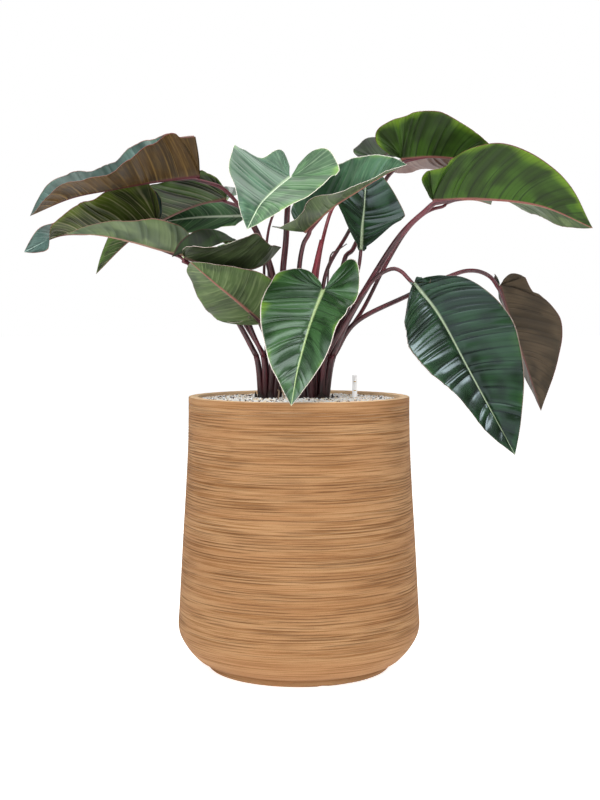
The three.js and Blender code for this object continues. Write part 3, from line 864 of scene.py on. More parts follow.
@dataclass(frozen=True)
class Shoot:
    """A slim shoot without a blade."""

    clump: str
    split: Pair
    radius: float
    end_radius: float
    stalk: tuple[Point, ...]
    skin: StalkFinish

    def build(self, name: str) -> None:
        """Makes the shoot's mesh and dresses it.

        Args:
            name: The shoot's name, which is its solid's too.
        """
        course = [(*self.split, SPLIT_HEIGHT), *self.stalk]
        data = MeshData()
        radii = np.linspace(self.radius, self.end_radius, len(course))
        Tube(course, radii, flat_start=True).add_to(data)
        piece = data.to_object(f"shoot_{name}", self.skin.material())
        settle(piece, self.skin.slot, name)


LEAVES: dict[str, Leaf] = {
    "centre": Leaf(
        clump="right", split=(20, -14), radius=4.5, slot="mid_green", upper=Tone.MID,
        stalk=((26, -30, 590), (34, -56, 640)),
        midrib=(
            (40, -87, 646), (25, -110, 608), (13, -137, 573), (-2, -182, 518), (-12, -227, 464),
        ),
        face=((-0.1, -0.75, 0.6), (0, -0.8, 0.5)),
        left=Half(65, (5, 20, 28, 15, 10), lobe=66),
        right=Half(88, (10, 8, 8, 12, 20), lobe=28, lift=-10),
    ),
    "upper_heart": Leaf(
        clump="left", split=(-30, 14), radius=6.5, slot="pale_green", upper=Tone.FRESH,
        quilting=0.5,
        stalk=((-33, 26, 597), (-28, 28, 683), (-23, 34, 734), (-20, 26, 790)),
        midrib=(
            (-15, -20, 838), (-33, -80, 817), (-50, -130, 796), (-64, -190, 772), (-79, -245, 735),
        ),
        face=((0, -0.3, 0.95),),
        left=Half(92, (8, 8, 5, 5, 0), lobe=50, lift=42),
        right=Half(
            98, (24, 28, 32, 35, 30), Outline.NOTCHED, lobe=58, lift=15, belly=1.3,
            upper=Tone.LEAN,
        ),
    ),
    "upper_right": Leaf(
        clump="right", split=(0, 4), radius=5.3, slot="mid_green", upper=Tone.LEAN,
        stalk=((-3, 0, 597), (0, -8, 682), (7, -15, 724)),
        midrib=((10, -20, 746), (54, -50, 784), (94, -85, 807), (136, -115, 830), (173, -140, 845)),
        face=((0, -0.42, 0.9),),
        left=Half(80, (35, 37, 37, 41, 50), lobe=12, lift=30),
        right=Half(80, (30, 16, 12, 12, 15), lobe=28, lift=50),
    ),
    "middle_right": Leaf(
        clump="right", split=(32, 0), radius=4.3,
        stalk=((60, 8, 570), (90, 13, 631), (104, 8, 696)),
        midrib=((106, 0, 718), (109, 15, 760), (113, 30, 795), (119, 60, 873)),
        face=((0, -0.9, 0.45),),
        left=Half(62, (38, 38, 32), Outline.TAPERED, lobe=4, belly=0.75),
        right=Half(72, (5,), Outline.TAPERED, lobe=4, belly=0.75),
    ),
    "right_low": Leaf(
        clump="right", split=(46, -12), radius=4.5, under=Tone.BROWN, quilting=1.15,
        stalk=((76, -22, 588), (112, -30, 647), (137, -38, 674), (165, -48, 682)),
        midrib=((192, -60, 658), (231, -85, 605), (281, -105, 511), (354, -120, 376)),
        face=((-0.1, -0.9, 0.3), (0, -0.9, 0.2)),
        left=Half(103, (8, 10), Outline.SLOPED, lobe=6, wave=4),
        right=Half(100, (35, 35), Outline.SHOULDERED, lobe=6, wave=4, upper=Tone.SHINE),
    ),
    "right_far": Leaf(
        clump="right", split=(60, 11), radius=4.8, slot="brown", under=Tone.UMBER,
        stalk=((98, 5, 593), (186, 10, 638), (270, 22, 676), (306, 30, 682), (333, 36, 672)),
        midrib=((350, 40, 657), (377, 65, 588), (409, 100, 516), (444, 140, 430)),
        face=((0.5, 0.8, 0.3),),
        left=Half(75, (55, 45), Outline.OBLONG, lobe=14, lift=10),
        right=Half(82, (20, 20), Outline.OBLONG, lobe=14, lift=10),
    ),
    "right_high": Leaf(
        clump="right", split=(56, -2), radius=6.3, slot="mid_green", upper=Tone.MID,
        under=Tone.PALE,
        stalk=((79, -6, 588), (113, -8, 648), (172, -14, 740)),
        midrib=((227, -20, 798), (304, -40, 799), (403, -50, 787), (494, -40, 751)),
        face=((0, 0.7, 0.7), (0.1, 0.7, 0.7)),
        left=Half(80, (60, 55, 35, 5), lobe=20, lift=40, belly=0.85, wave=4),
        right=Half(92, (28, 28), Outline.OBLONG, lobe=26, lift=40, wave=4, under=Tone.OLIVE),
    ),
    "top_right": Leaf(
        clump="right", split=(38, 14), radius=4.8, slot="olive", upper=Tone.MID, under=Tone.MAUVE,
        stalk=((78, 38, 697), (94, 46, 720), (128, 76, 789), (155, 78, 847)),
        midrib=((180, 60, 877), (240, 62, 882), (312, 58, 870), (384, 48, 826)),
        face=((0, 0.5, 0.85),),
        left=Half(80, (16,), lobe=30, lift=10),
        right=Half(85, (25, 22, 14, 8), lobe=44, lift=10, belly=1.2, wave=4, under=Tone.OLIVE),
    ),
    "right_back": Leaf(
        clump="right", split=(50, 22), radius=4,
        stalk=((105, 30, 605), (146, 34, 683), (186, 38, 750), (222, 46, 784)),
        midrib=((254, 62, 803), (290, 112, 812), (325, 165, 816), (360, 215, 812)),
        face=((0, -0.1, 1),),
        left=Half(50, (20,), Outline.OBLONG),
        right=Half(50, (20,), Outline.OBLONG),
    ),
    "back_right": Leaf(
        clump="right", split=(38, 26), radius=4, upper=Tone.PAINTED_SHADE, under=Tone.OLIVE,
        stalk=((36, 22, 579), (46, 32, 675), (84, 56, 746), (128, 98, 826)),
        midrib=((143, 130, 884), (178, 190, 910), (220, 250, 920), (269, 300, 912)),
        face=((0, -0.2, 1), (0, 0.2, 1)),
        left=Half(55, (20,), lobe=26),
        right=Half(60, (15,), lobe=26),
    ),
    "back_middle": Leaf(
        clump="right", split=(24, 20), radius=4, slot="mid_green", upper=Tone.MID, under=Tone.OLIVE,
        skin=RED_STALK,
        stalk=((23, 20, 579), (31, 24, 674), (42, 48, 739), (60, 85, 796)),
        midrib=((82, 115, 820), (90, 170, 838), (98, 225, 845), (106, 280, 840)),
        face=((0, -0.2, 1), (0, 0.2, 1)),
        left=Half(60, (25,), lobe=20),
        right=Half(45, (25,), lobe=20),
    ),
    "back_left": Leaf(
        clump="left", split=(-58, 32), radius=3, upper=Tone.PAINTED_SHADE,
        stalk=((-57, 28, 579), (-61, 36, 680), (-56, 42, 735), (-50, 48, 767)),
        midrib=((-38, 60, 806), (-47, 130, 824), (-52, 210, 836), (-56, 285, 834)),
        face=((0, -0.2, 1), (0, 0.2, 1)),
        left=Half(80, (28,), lobe=26),
        right=Half(80, (28,), lobe=26),
    ),
    "left_top": Leaf(
        clump="left", split=(-46, 8), radius=4.3, slot="brown", under=Tone.BROWN,
        stalk=((-46, 6, 648), (-58, 4, 705), (-76, 0, 750), (-103, -5, 792), (-132, -12, 821)),
        midrib=(
            (-168, -20, 839), (-240, -28, 830), (-310, -32, 817), (-383, -30, 802),
            (-456, -20, 773),
        ),
        left=Half(87, (60, 51, 31, 18, 9, 12, 22, 12, 0), Outline.ROUNDED, lobe=2, belly=0.95),
        right=Half(
            92, (72, 64, 50, 46, 35, 36, 55, 84, 88), Outline.ROUNDED, lobe=2, belly=0.85,
            upper=Tone.PAINTED_SHEEN,
        ),
    ),
    "left_second": Leaf(
        clump="left", split=(-48, 22), radius=4, slot="mid_green", upper=Tone.MID, under=Tone.DARK,
        stalk=((-50, 22, 600), (-54, 24, 704), (-73, 26, 747), (-97, 28, 787)),
        midrib=(
            (-125, 30, 807), (-182, 75, 799), (-252, 130, 774), (-314, 160, 739), (-374, 165, 681),
        ),
        left=Half(78, (34, 22, 40, 60, 75), lobe=14),
        right=Half(70, (20, 25, 30, 30, 20)),
    ),
    "left_third": Leaf(
        clump="left", split=(-74, 2), radius=5, under=Tone.PALE,
        stalk=((-108, 10, 597), (-147, 8, 655)),
        midrib=(
            (-194, 8, 706), (-241, -10, 718), (-287, -22, 730), (-341, -30, 740), (-396, -34, 741),
        ),
        left=Half(86, (27, 22, 22, 26, 20), Outline.OBLONG, lobe=4, belly=1.35),
        right=Half(70, (10,), Outline.OBLONG, lobe=4),
    ),
    "left_fourth": Leaf(
        clump="left", split=(-60, 16), radius=4.2, upper=Tone.PAINTED_SHEEN, under=Tone.MOSS,
        stalk=((-99, 26, 597), (-150, 36, 670), (-200, 38, 730)),
        midrib=(
            (-246, 35, 763), (-305, 42, 756), (-364, 48, 747), (-421, 52, 743), (-481, 45, 715),
        ),
        face=((0, 0, 1), (0, 0, 1), (0, 0, 1), (-0.1, -0.3, 0.95), (-0.3, -0.85, 0.3)),
        left=Half(85, (57, 50, 40, 30, 33, 41, 40, -5, 0)),
        right=Half(66, (75, 75, 75, 70, 55, 36, 27, 47, 20), belly=0.8, under=Tone.PALE),
    ),
    "left_back": Leaf(
        clump="left", split=(-34, 32), radius=3.6, upper=Tone.FRESH,
        stalk=((-34, 40, 597), (-44, 50, 675), (-64, 66, 733), (-82, 82, 769)),
        midrib=((-105, 100, 782), (-171, 140, 783), (-227, 160, 779), (-275, 175, 771)),
        face=((0, -0.8, 0.6),),
        left=Half(42, (0,), Outline.OBLONG),
        right=Half(42, (0,), Outline.OBLONG),
    ),
    "left_inner": Leaf(
        clump="left", split=(-62, -6), radius=4.2, upper=Tone.PAINTED_SHADE, under=Tone.DARK,
        stalk=((-85, 8, 588), (-106, 14, 666)),
        midrib=(
            (-115, 10, 737), (-138, -15, 749), (-167, -54, 747), (-193, -82, 728),
            (-208, -98, 700),
        ),
        face=((-0.1, -0.2, 0.97), (-0.1, -0.5, 0.85)),
        left=Half(58, (-25,), lobe=8),
        right=Half(15, (-40,), lobe=4),
    ),
    "left_front": Leaf(
        clump="left", split=(-48, -8), radius=4.2, slot="olive", upper=Tone.MID, under=Tone.SLATE,
        stalk=((-60, -4, 575), (-85, -12, 622), (-130, -50, 668), (-164, -82, 684)),
        midrib=(
            (-187, -110, 699), (-143, -95, 685), (-94, -78, 679), (-58, -60, 690), (-30, -40, 719),
        ),
        left=Half(55, (8, 6, 5, 10), Outline.TAPERED, lobe=4),
        right=Half(78, (20, 36, 40, 38, 50), Outline.OBLONG, belly=0.7),
    ),
    "left_low": Leaf(
        clump="left", split=(-36, -6), radius=4.2, slot="olive", upper=Tone.MID,
        stalk=((-46, -12, 560),),
        midrib=((-61, -20, 590), (-100, -60, 625), (-139, -100, 658), (-175, -140, 690)),
        face=((-0.2, 0.5, 0.84),),
        left=Half(70, (5,), lobe=22),
        right=Half(76, (12, 14, 12, 25, 35), Outline.SHORT, lobe=2),
    ),
}

SHOOTS: dict[str, Shoot] = {
    "new_leaf": Shoot(
        clump="right", split=(13, 11), radius=7.5, end_radius=3, skin=RED_STALK,
        stalk=((24, 2, 657), (30, 4, 696), (38, 6, 734)),
    ),
    "dry_sheath": Shoot(
        clump="right", split=(27, -9), radius=2, end_radius=0.8, skin=DRY_STALK,
        stalk=((46, -8, 631), (53, -6, 703), (67, -2, 716), (82, 4, 727)),
    ),
}


@dataclass
class BladeGrid:
    """The middle surface of half a blade, in rows from the stalk to the tip and columns across."""

    points: Array
    normals: Array
    share: Array
    breadth: Array
    reach: Array


@dataclass
class Blade:
    """The blade of a leaf: quilted between its veins, waved at its margin and ribbed below.

    Waves, ruffles and buckles are counted from the notch to the tip, and each column is a share of
    the way from the midrib to the margin.
    """

    name: str
    leaf: Leaf
    thickness: float = 0.9
    thin_margin: float = 0.8
    margin_thinning: float = 0.45
    rib_depth: float = 3.0
    rib_width: float = 4.3
    rib_taper: float = 0.8
    rib_colour: float = 1.7
    channel: float = 0.7
    curl: float = 8
    lobe_rows: float = 0.44
    vein_bend: float = 1.35
    waves: float = 2.3
    fan_laterals: int = 7
    least_laterals: int = 8
    lateral_spacing: float = 17.5
    rows_per_lateral: int = 8
    drift: float = 0.24
    drift_turn: float = 2.1
    quilt: float = 2.6
    quilt_power: float = 0.6
    quilt_start: float = 0.14
    quilt_fade: Pair = (0.7, 0.6)
    unevenness: float = 0.3
    uneven_turn: float = 7.3
    ruffles: float = 7
    ruffle: float = 1.2
    ruffle_shift: float = 0.3
    buckles: float = 3.1
    buckle: float = 2.2
    buckle_shift: float = 0.37
    buckle_run: float = 50
    smooth_foot: float = 0.4
    full_width: float = 90.0
    merge: float = 0.01
    columns: Spread = (0, 0.012, 0.025, 0.04, 0.06, 0.09, 0.13, 0.18, 0.25, 0.33, 0.42, 0.52, 0.62,
                       0.72, 0.82, 0.9, 0.96, 1)

    def __post_init__(self) -> None:
        """Lays the midrib's curve and the rows, an even number of them to each lateral vein."""
        self.curve = SmoothCurve(self.leaf.midrib)
        self.column = np.array(self.columns, float)
        along = max(self.least_laterals, round(self.curve.length / self.lateral_spacing))
        laterals = self.fan_laterals + along
        self.phase = np.linspace(0, laterals, laterals * self.rows_per_lateral + 1)
        drift = self.drift * np.sin(self.drift_turn * self.phase + self.curve.length)
        drift = drift * np.minimum(1, np.minimum(self.phase, laterals - self.phase))
        stops = (0, self.fan_laterals, laterals)
        self.row = np.interp(self.phase + drift, stops, (0, self.lobe_rows, 1))

    def facing(self, share: Array) -> Array:
        """Gives the way the upper side looks at the shares of the midrib, square to it."""
        return square_to(spread(self.leaf.face, share), self.curve.tangent(share))

    def surface(self, half: Half, side: int) -> BladeGrid:
        """Works out the middle surface of one half, without its fine relief.

        Args:
            half: The half's shape.
            side: +1 for the right half and -1 for the left.

        Returns:
            The half's grid.
        """
        row, column, length = self.row[:, None], self.column, self.curve.length
        outline = SmoothCurve(half.outline.value, open_ended=False).at(self.row)
        forward, breadth = outline[:, :1], np.maximum(outline[:, 1:], 0)
        ahead = np.power(np.maximum(forward, 0), half.belly) * length
        margin = np.where(forward < 0, forward * half.lobe, ahead)
        start = np.maximum(row - self.lobe_rows, 0) / (1 - self.lobe_rows) * length
        run = start + (margin - start) * column**self.vein_bend
        share = np.clip(run / length, 0, 1)
        tangent, up = self.curve.tangent(share), self.facing(share)
        sideways = np.cross(tangent, up) * side
        behind = np.minimum(run, 0)[..., None]
        lift = math.radians(half.lift)
        points = self.curve.at(share) + behind * (tangent * math.cos(lift) - up * math.sin(lift))
        across = (column * breadth * half.width)[..., None]
        curl = (np.radians(self.curl) * column * breadth)[..., None]
        fold = np.radians(spread(half.fold, share))[..., None]
        wave = half.wave * column**2 * np.sin(2 * np.pi * self.waves * row) * breadth
        points = points + sideways * across * np.cos(fold + curl / 2)
        points = points + up * (across * np.sin(fold + curl / 2) + wave[..., None])
        normals = up * np.cos(fold + curl) - sideways * np.sin(fold + curl)
        normals[:, 0] = up[:, 0]
        reach = np.hypot(across[..., 0], behind[..., 0])
        return BladeGrid(points, normals, share, breadth, reach)

    def relief(self, half: Half, side: int, breadth: Array) -> Array:
        """Gives how far the surface stands up between the veins and along the ruffled margin.

        Args:
            half: The half's shape.
            side: +1 for the right half and -1 for the left.
            breadth: The outline's breadth at each row, in half widths.

        Returns:
            The height at each place of the grid.
        """
        row, phase, column = self.row[:, None], self.phase[:, None], self.column
        fade_start, fade = self.quilt_fade
        fade = 1 - fade * smoothstep((column - fade_start) / (1 - fade_start))
        fade = smoothstep(column / self.quilt_start) * fade
        pillow = np.minimum(phase.astype(int), phase[-1, 0] - 1)
        uneven = np.sin(self.uneven_turn * pillow + 2 * side + self.curve.length)
        height = 1 - self.unevenness + self.unevenness * uneven
        quilt = self.quilt * height * np.abs(np.sin(np.pi * phase)) ** self.quilt_power * fade
        turn = self.ruffles * row + (self.ruffle_shift if side > 0 else 0)
        ruffle = self.ruffle * column**3 * np.sin(2 * np.pi * turn)
        turn = self.buckles * row + self.buckle_shift * side + self.curve.length / self.buckle_run
        buckle = self.buckle * 4 * column * (1 - column) * np.sin(2 * np.pi * turn)
        relief = (quilt + ruffle + buckle) * (half.width / self.full_width) ** 2
        return relief * self.leaf.quilting * smoothstep(breadth / self.smooth_foot)

    def build(self) -> None:
        """Makes the blade's mesh and dresses it."""
        data, leaf, column = MeshData(), self.leaf, self.column
        uv = np.stack(np.meshgrid(column, self.phase / VEINS_PER_UV), -1)
        thinning = smoothstep((column - self.thin_margin) / (1 - self.thin_margin))
        thickness = self.thickness / 2 * (1 - self.margin_thinning * thinning)
        halves = ((1, leaf.right), (-1, leaf.left))
        tones = list(dict.fromkeys(tone for _, half in halves for tone in leaf.tones(half)))
        for side, half in halves:
            grid = self.surface(half, side)
            relief = self.relief(half, side, grid.breadth)[..., None]
            middle = grid.points + grid.normals * relief
            rib_width = self.rib_width * (1 - self.rib_taper * grid.share)
            near = np.minimum(grid.reach / rib_width, 1)
            swell = 0.5 * (1 + np.cos(np.pi * near)) * (1 - grid.share)
            rib = smoothstep((1 - near) * self.rib_colour)
            above = thickness - self.channel * swell
            below = thickness + self.rib_depth * swell
            top = data.add_points(middle + grid.normals * above[..., None], rib=rib)
            bottom = data.add_points(middle - grid.normals * below[..., None], rib=rib)
            upper, under = (tones.index(tone) for tone in leaf.tones(half))
            data.add_quads(top, side < 0, upper, uv)
            data.add_quads(bottom, side > 0, under, uv)
            edge = [np.concatenate([each[0], each[1:, -1]]) for each in (top, bottom, uv, uv)]
            data.add_quads(np.stack(edge[:2]), side > 0, upper, np.stack(edge[2:]))
        materials = [LeafFinish(tone).material() for tone in tones]
        piece = data.to_object(f"leaf_{self.name}", *materials, merge=self.merge)
        settle(piece, leaf.slot, f"blade_{self.name}")


@dataclass
class Tube:
    """A stem along a smooth curve, with a shallow channel down one side."""

    points: Sequence[Sequence[float]]
    radii: Sequence[float]
    sides: int = 18
    step: float = 6.0
    channel: float = 0.1
    channel_power: int = 4
    flat_start: bool = False
    flat_end: bool = False
    grain_length: float = 60.0
    grain_shift: float = 7
    first_side: Point = (0.3, 1.0, 0.1)

    def add_to(self, data: MeshData, group: int = 0) -> None:
        """Adds the closed tube to a piece.

        Args:
            data: The piece.
            group: The material's number.
        """
        curve = SmoothCurve(self.points)
        rings = max(3, round(curve.length / self.step))
        lengths = np.linspace(0, curve.length, rings + 1)
        share = curve.share_at(lengths)
        centres, tangents = curve.at(share), curve.tangent(share)
        radii = np.interp(share * (len(self.points) - 1), np.arange(len(self.points)), self.radii)
        angle = around(self.sides)
        out = 1 - self.channel * np.maximum(np.cos(angle), 0) ** self.channel_power
        first = self._frames(tangents)
        second = np.cross(tangents, first)
        spokes = np.cos(angle)[:, None] * first[:, None] + np.sin(angle)[:, None] * second[:, None]
        points = centres[:, None] + radii[:, None, None] * out[:, None] * spokes
        for ring, flat in ((0, self.flat_start), (-1, self.flat_end)):
            if flat:
                rise = (centres[ring, 2] - points[ring, :, 2]) / tangents[ring, 2]
                points[ring] += rise[:, None] * tangents[ring]
        run = (lengths / self.grain_length)[:, None] + centres[0, 0] / self.grain_shift
        data.add_tube(points, group, grain=turned(1, run, angle))

    def _frames(self, tangents: Array) -> Array:
        """Carries a direction square to the curve along it without twisting it.

        Args:
            tangents: The curve's direction at each ring.

        Returns:
            The direction at each ring.
        """
        frames = [unit(np.cross(tangents[0], self.first_side))]
        for tangent in tangents[1:]:
            frames.append(square_to(frames[-1], tangent))
        return np.array(frames)


@dataclass
class Stalk:
    """The stalk of a leaf, from its clump to the blade, where it runs out under the midrib."""

    blade: Blade
    taper: float = 0.75
    seat_depth: float = 3.9
    seat_rounds: int = 4
    sample_step: float = 14.0
    last_step: float = 8
    turn_limit: float = -0.3
    tail: tuple[Pair, ...] = ((9, 0.9), (20, 0.7), (34, 0.5), (50, 0.25))
    tail_gap: float = 0.3
    blunt_radius: float = 0.6
    blunt_gap: float = 0.5

    def course(self) -> tuple[list[list[float]], list[float]]:
        """Works out what the stalk goes through and how thick it is there.

        Returns:
            The points and the radius at each.
        """
        leaf, blade, foot = self.blade.leaf, self.blade.curve, np.zeros(1)
        radius, end_radius = leaf.radius, leaf.radius * self.taper
        up, joint = self.blade.facing(foot)[0], blade.at(foot)[0]
        seat = joint - up * self.seat_depth
        lower = [[*leaf.split, SPLIT_HEIGHT], *leaf.stalk]
        end = seat
        for _ in range(self.seat_rounds):
            arrival = SmoothCurve([*lower, end]).tangent(np.ones(1))[0]
            end = seat - square_to(up, arrival) * end_radius
        curve = SmoothCurve([*lower, end])
        steps = np.arange(0, curve.length - self.last_step, self.sample_step)
        lengths = np.append(steps, curve.length)
        points = curve.at(curve.share_at(lengths)).tolist()
        radii = (radius + (end_radius - radius) * lengths / curve.length).tolist()
        if np.dot(arrival, blade.tangent(foot)[0]) > self.turn_limit:
            for distance, share in self.tail:
                place = blade.share_at(np.array([distance]))
                radii.append(end_radius * share)
                under = self.blade.facing(place)[0] * (radii[-1] + self.tail_gap)
                points.append((blade.at(place)[0] - under).tolist())
        else:
            points.append((joint - up * (end_radius * 0.5 + self.blunt_gap)).tolist())
            radii.append(end_radius * self.blunt_radius)
        return points, radii

    def build(self) -> None:
        """Makes the stalk's mesh and dresses it."""
        data, name, skin = MeshData(), self.blade.name, self.blade.leaf.skin
        Tube(*self.course(), flat_start=True).add_to(data)
        piece = data.to_object(f"stem_{name}", skin.material())
        settle(piece, skin.slot, f"stalk_{name}")


@dataclass(frozen=True)
class Husk:
    """A pointed scrap of dry sheath that wraps round part of a stalk's base."""

    centre: Pair
    radius: float
    height: float
    turn: float
    sweep: float
    flare: float = 1.0
    bottom: float = 452.0
    thickness: float = 0.7
    sway: float = 8
    sway_turn: float = 5
    ripple: float = 0.5
    ripple_turns: Pair = (9, 4)
    point: float = 0.03
    point_power: float = 1.6
    rounding: float = 0.12
    rows: int = 22
    columns: int = 11

    def add_to(self, data: MeshData, group: int) -> None:
        """Adds the closed scrap to a piece.

        Args:
            data: The piece.
            group: The material's number.
        """
        up = np.linspace(0, 1, self.rows)[:, None]
        side = np.linspace(-1, 1, self.columns)[None, :]
        width = self.sweep / 2 * ((1 - up**self.point_power) * (1 - self.point) + self.point)
        angle = np.radians(self.turn + side * width + self.sway * np.sin(self.sway_turn * up))
        ripple = np.sin(self.ripple_turns[0] * side + self.ripple_turns[1] * up)
        radius = self.radius + self.flare * up**2 + self.ripple * ripple
        height = self.bottom + self.height * up * (1 - self.rounding * side**2)
        outer, inner = (turned(radius + offset, height, angle, self.centre)
                        for offset in (self.thickness / 2, -self.thickness / 2))
        data.add_sheet(outer, inner, group, grain=turned(2, up, angle))


@dataclass(frozen=True)
class Clump:
    """The fused bases of a clump's stalks, with its buried neck, dry sheaths and loose roots."""

    name: str
    centre: Pair
    neck: float
    husks: tuple[Husk, ...]
    roots: tuple[tuple[Point, ...], ...]
    neck_bottom: float = 322.0
    neck_top: float = 456.0
    neck_sides: int = 40
    neck_rings: int = 5
    base_bottom: float = 446.0
    base_spread: float = 0.55
    base_points: int = 7
    swell: float = 1.3
    swell_power: float = 0.8
    root_radius: float = 1.7
    root_taper: float = 0.6
    root_sides: int = 10
    root_step: float = 3

    def build(self) -> None:
        """Makes the clump's mesh and dresses it."""
        data = MeshData()
        heights = np.linspace(self.neck_bottom, self.neck_top, self.neck_rings)
        neck = [(*self.centre, height) for height in heights]
        Tube(neck, [self.neck] * len(neck), sides=self.neck_sides, channel=0).add_to(data)
        for grown in (*LEAVES.values(), *SHOOTS.values()):
            if grown.clump == self.name:
                self._add_base(data, grown)
        for husk in self.husks:
            husk.add_to(data, 1)
        for root in self.roots:
            radii = np.linspace(self.root_radius, self.root_radius * self.root_taper, len(root))
            Tube(root, radii, self.root_sides, self.root_step, channel=0).add_to(data, 2)
        materials = [each.material() for each in (DARK_STALK, HUSK, ROOT)]
        piece = data.to_object(f"base_{self.name}", *materials)
        settle(piece, DARK_STALK.slot, f"clump_{self.name}")

    def _add_base(self, data: MeshData, grown: Leaf | Shoot) -> None:
        """Adds the swollen base of one stalk, up to where the stalk parts from the clump.

        Args:
            data: The clump's mesh.
            grown: The leaf or shoot that the stalk belongs to.
        """
        x, y = (c + (s - c) * self.base_spread for c, s in zip(self.centre, grown.split))
        top = (*grown.split, SPLIT_HEIGHT)
        curve = SmoothCurve([(x, y, self.base_bottom), top, grown.stalk[0]])
        share = np.linspace(0, 0.5, self.base_points)
        swell = 1 + (self.swell - 1) * (1 - share * 2) ** self.swell_power
        Tube(curve.at(share), grown.radius * swell, flat_end=True).add_to(data)


class GeometryTree(Nodes):
    """A node tree that makes geometry, with named inputs and their values."""

    KINDS = {float: "Float", int: "Int", bpy.types.Material: "Material"}

    def __init__(self, name: str, values: dict[str, Any]) -> None:
        """Makes the tree with its inputs.

        Args:
            name: The tree's name.
            values: The value of each input by its name.
        """
        super().__init__(bpy.data.node_groups.new(name, "GeometryNodeTree"))
        face = self.tree.interface
        face.new_socket("Geometry", in_out="INPUT", socket_type="NodeSocketGeometry")
        face.new_socket("Geometry", in_out="OUTPUT", socket_type="NodeSocketGeometry")
        self.values = {}
        for label, value in values.items():
            kind = f"NodeSocket{self.KINDS[type(value)]}"
            socket = face.new_socket(label, in_out="INPUT", socket_type=kind)
            self.values[socket.identifier] = value
        self.entry = self.add("NodeGroupInput").outputs

    def stored(self, geometry: Any, name: str, value: Any, domain: str) -> Any:
        """Keeps a value as an attribute of the geometry and gives the node."""
        inputs = {"Geometry": geometry, "Name": name, "Value": value}
        return self.add("GeometryNodeStoreNamedAttribute", inputs, data_type="FLOAT", domain=domain)

    def moved(self, geometry: Any, offset: Any) -> Any:
        """Moves the geometry's points and gives the node."""
        return self.add("GeometryNodeSetPosition", {"Geometry": geometry, "Offset": offset})

    def apply(self, geometry: Any, piece: bpy.types.Object) -> bpy.types.Object:
        """Ends the tree, runs it on a piece and keeps the result as a plain mesh.

        Args:
            geometry: What the tree has made, before it is made real and dressed.
            piece: The piece, whose own mesh is the tree's geometry.

        Returns:
            The piece, with its new mesh and no modifier.
        """
        real = self.add("GeometryNodeRealizeInstances", {"Geometry": geometry})
        inputs = {"Geometry": real, "Material": self.entry["Material"]}
        dressed = self.add("GeometryNodeSetMaterial", inputs)
        self.add("NodeGroupOutput", {"Geometry": dressed})
        modifier = piece.modifiers.new(self.tree.name, "NODES")
        modifier.node_group = self.tree
        for identifier, value in self.values.items():
            modifier[identifier] = value
        graph = bpy.context.evaluated_depsgraph_get()
        made = bpy.data.meshes.new_from_object(piece.evaluated_get(graph), depsgraph=graph)
        piece.modifiers.clear()
        piece.data = made
        return piece


@dataclass(frozen=True)
class Comb:
    """One set of grooves: its noises' own seed, its pitch and its depth against the first set."""

    shift: float
    pitch: float
    strength: float


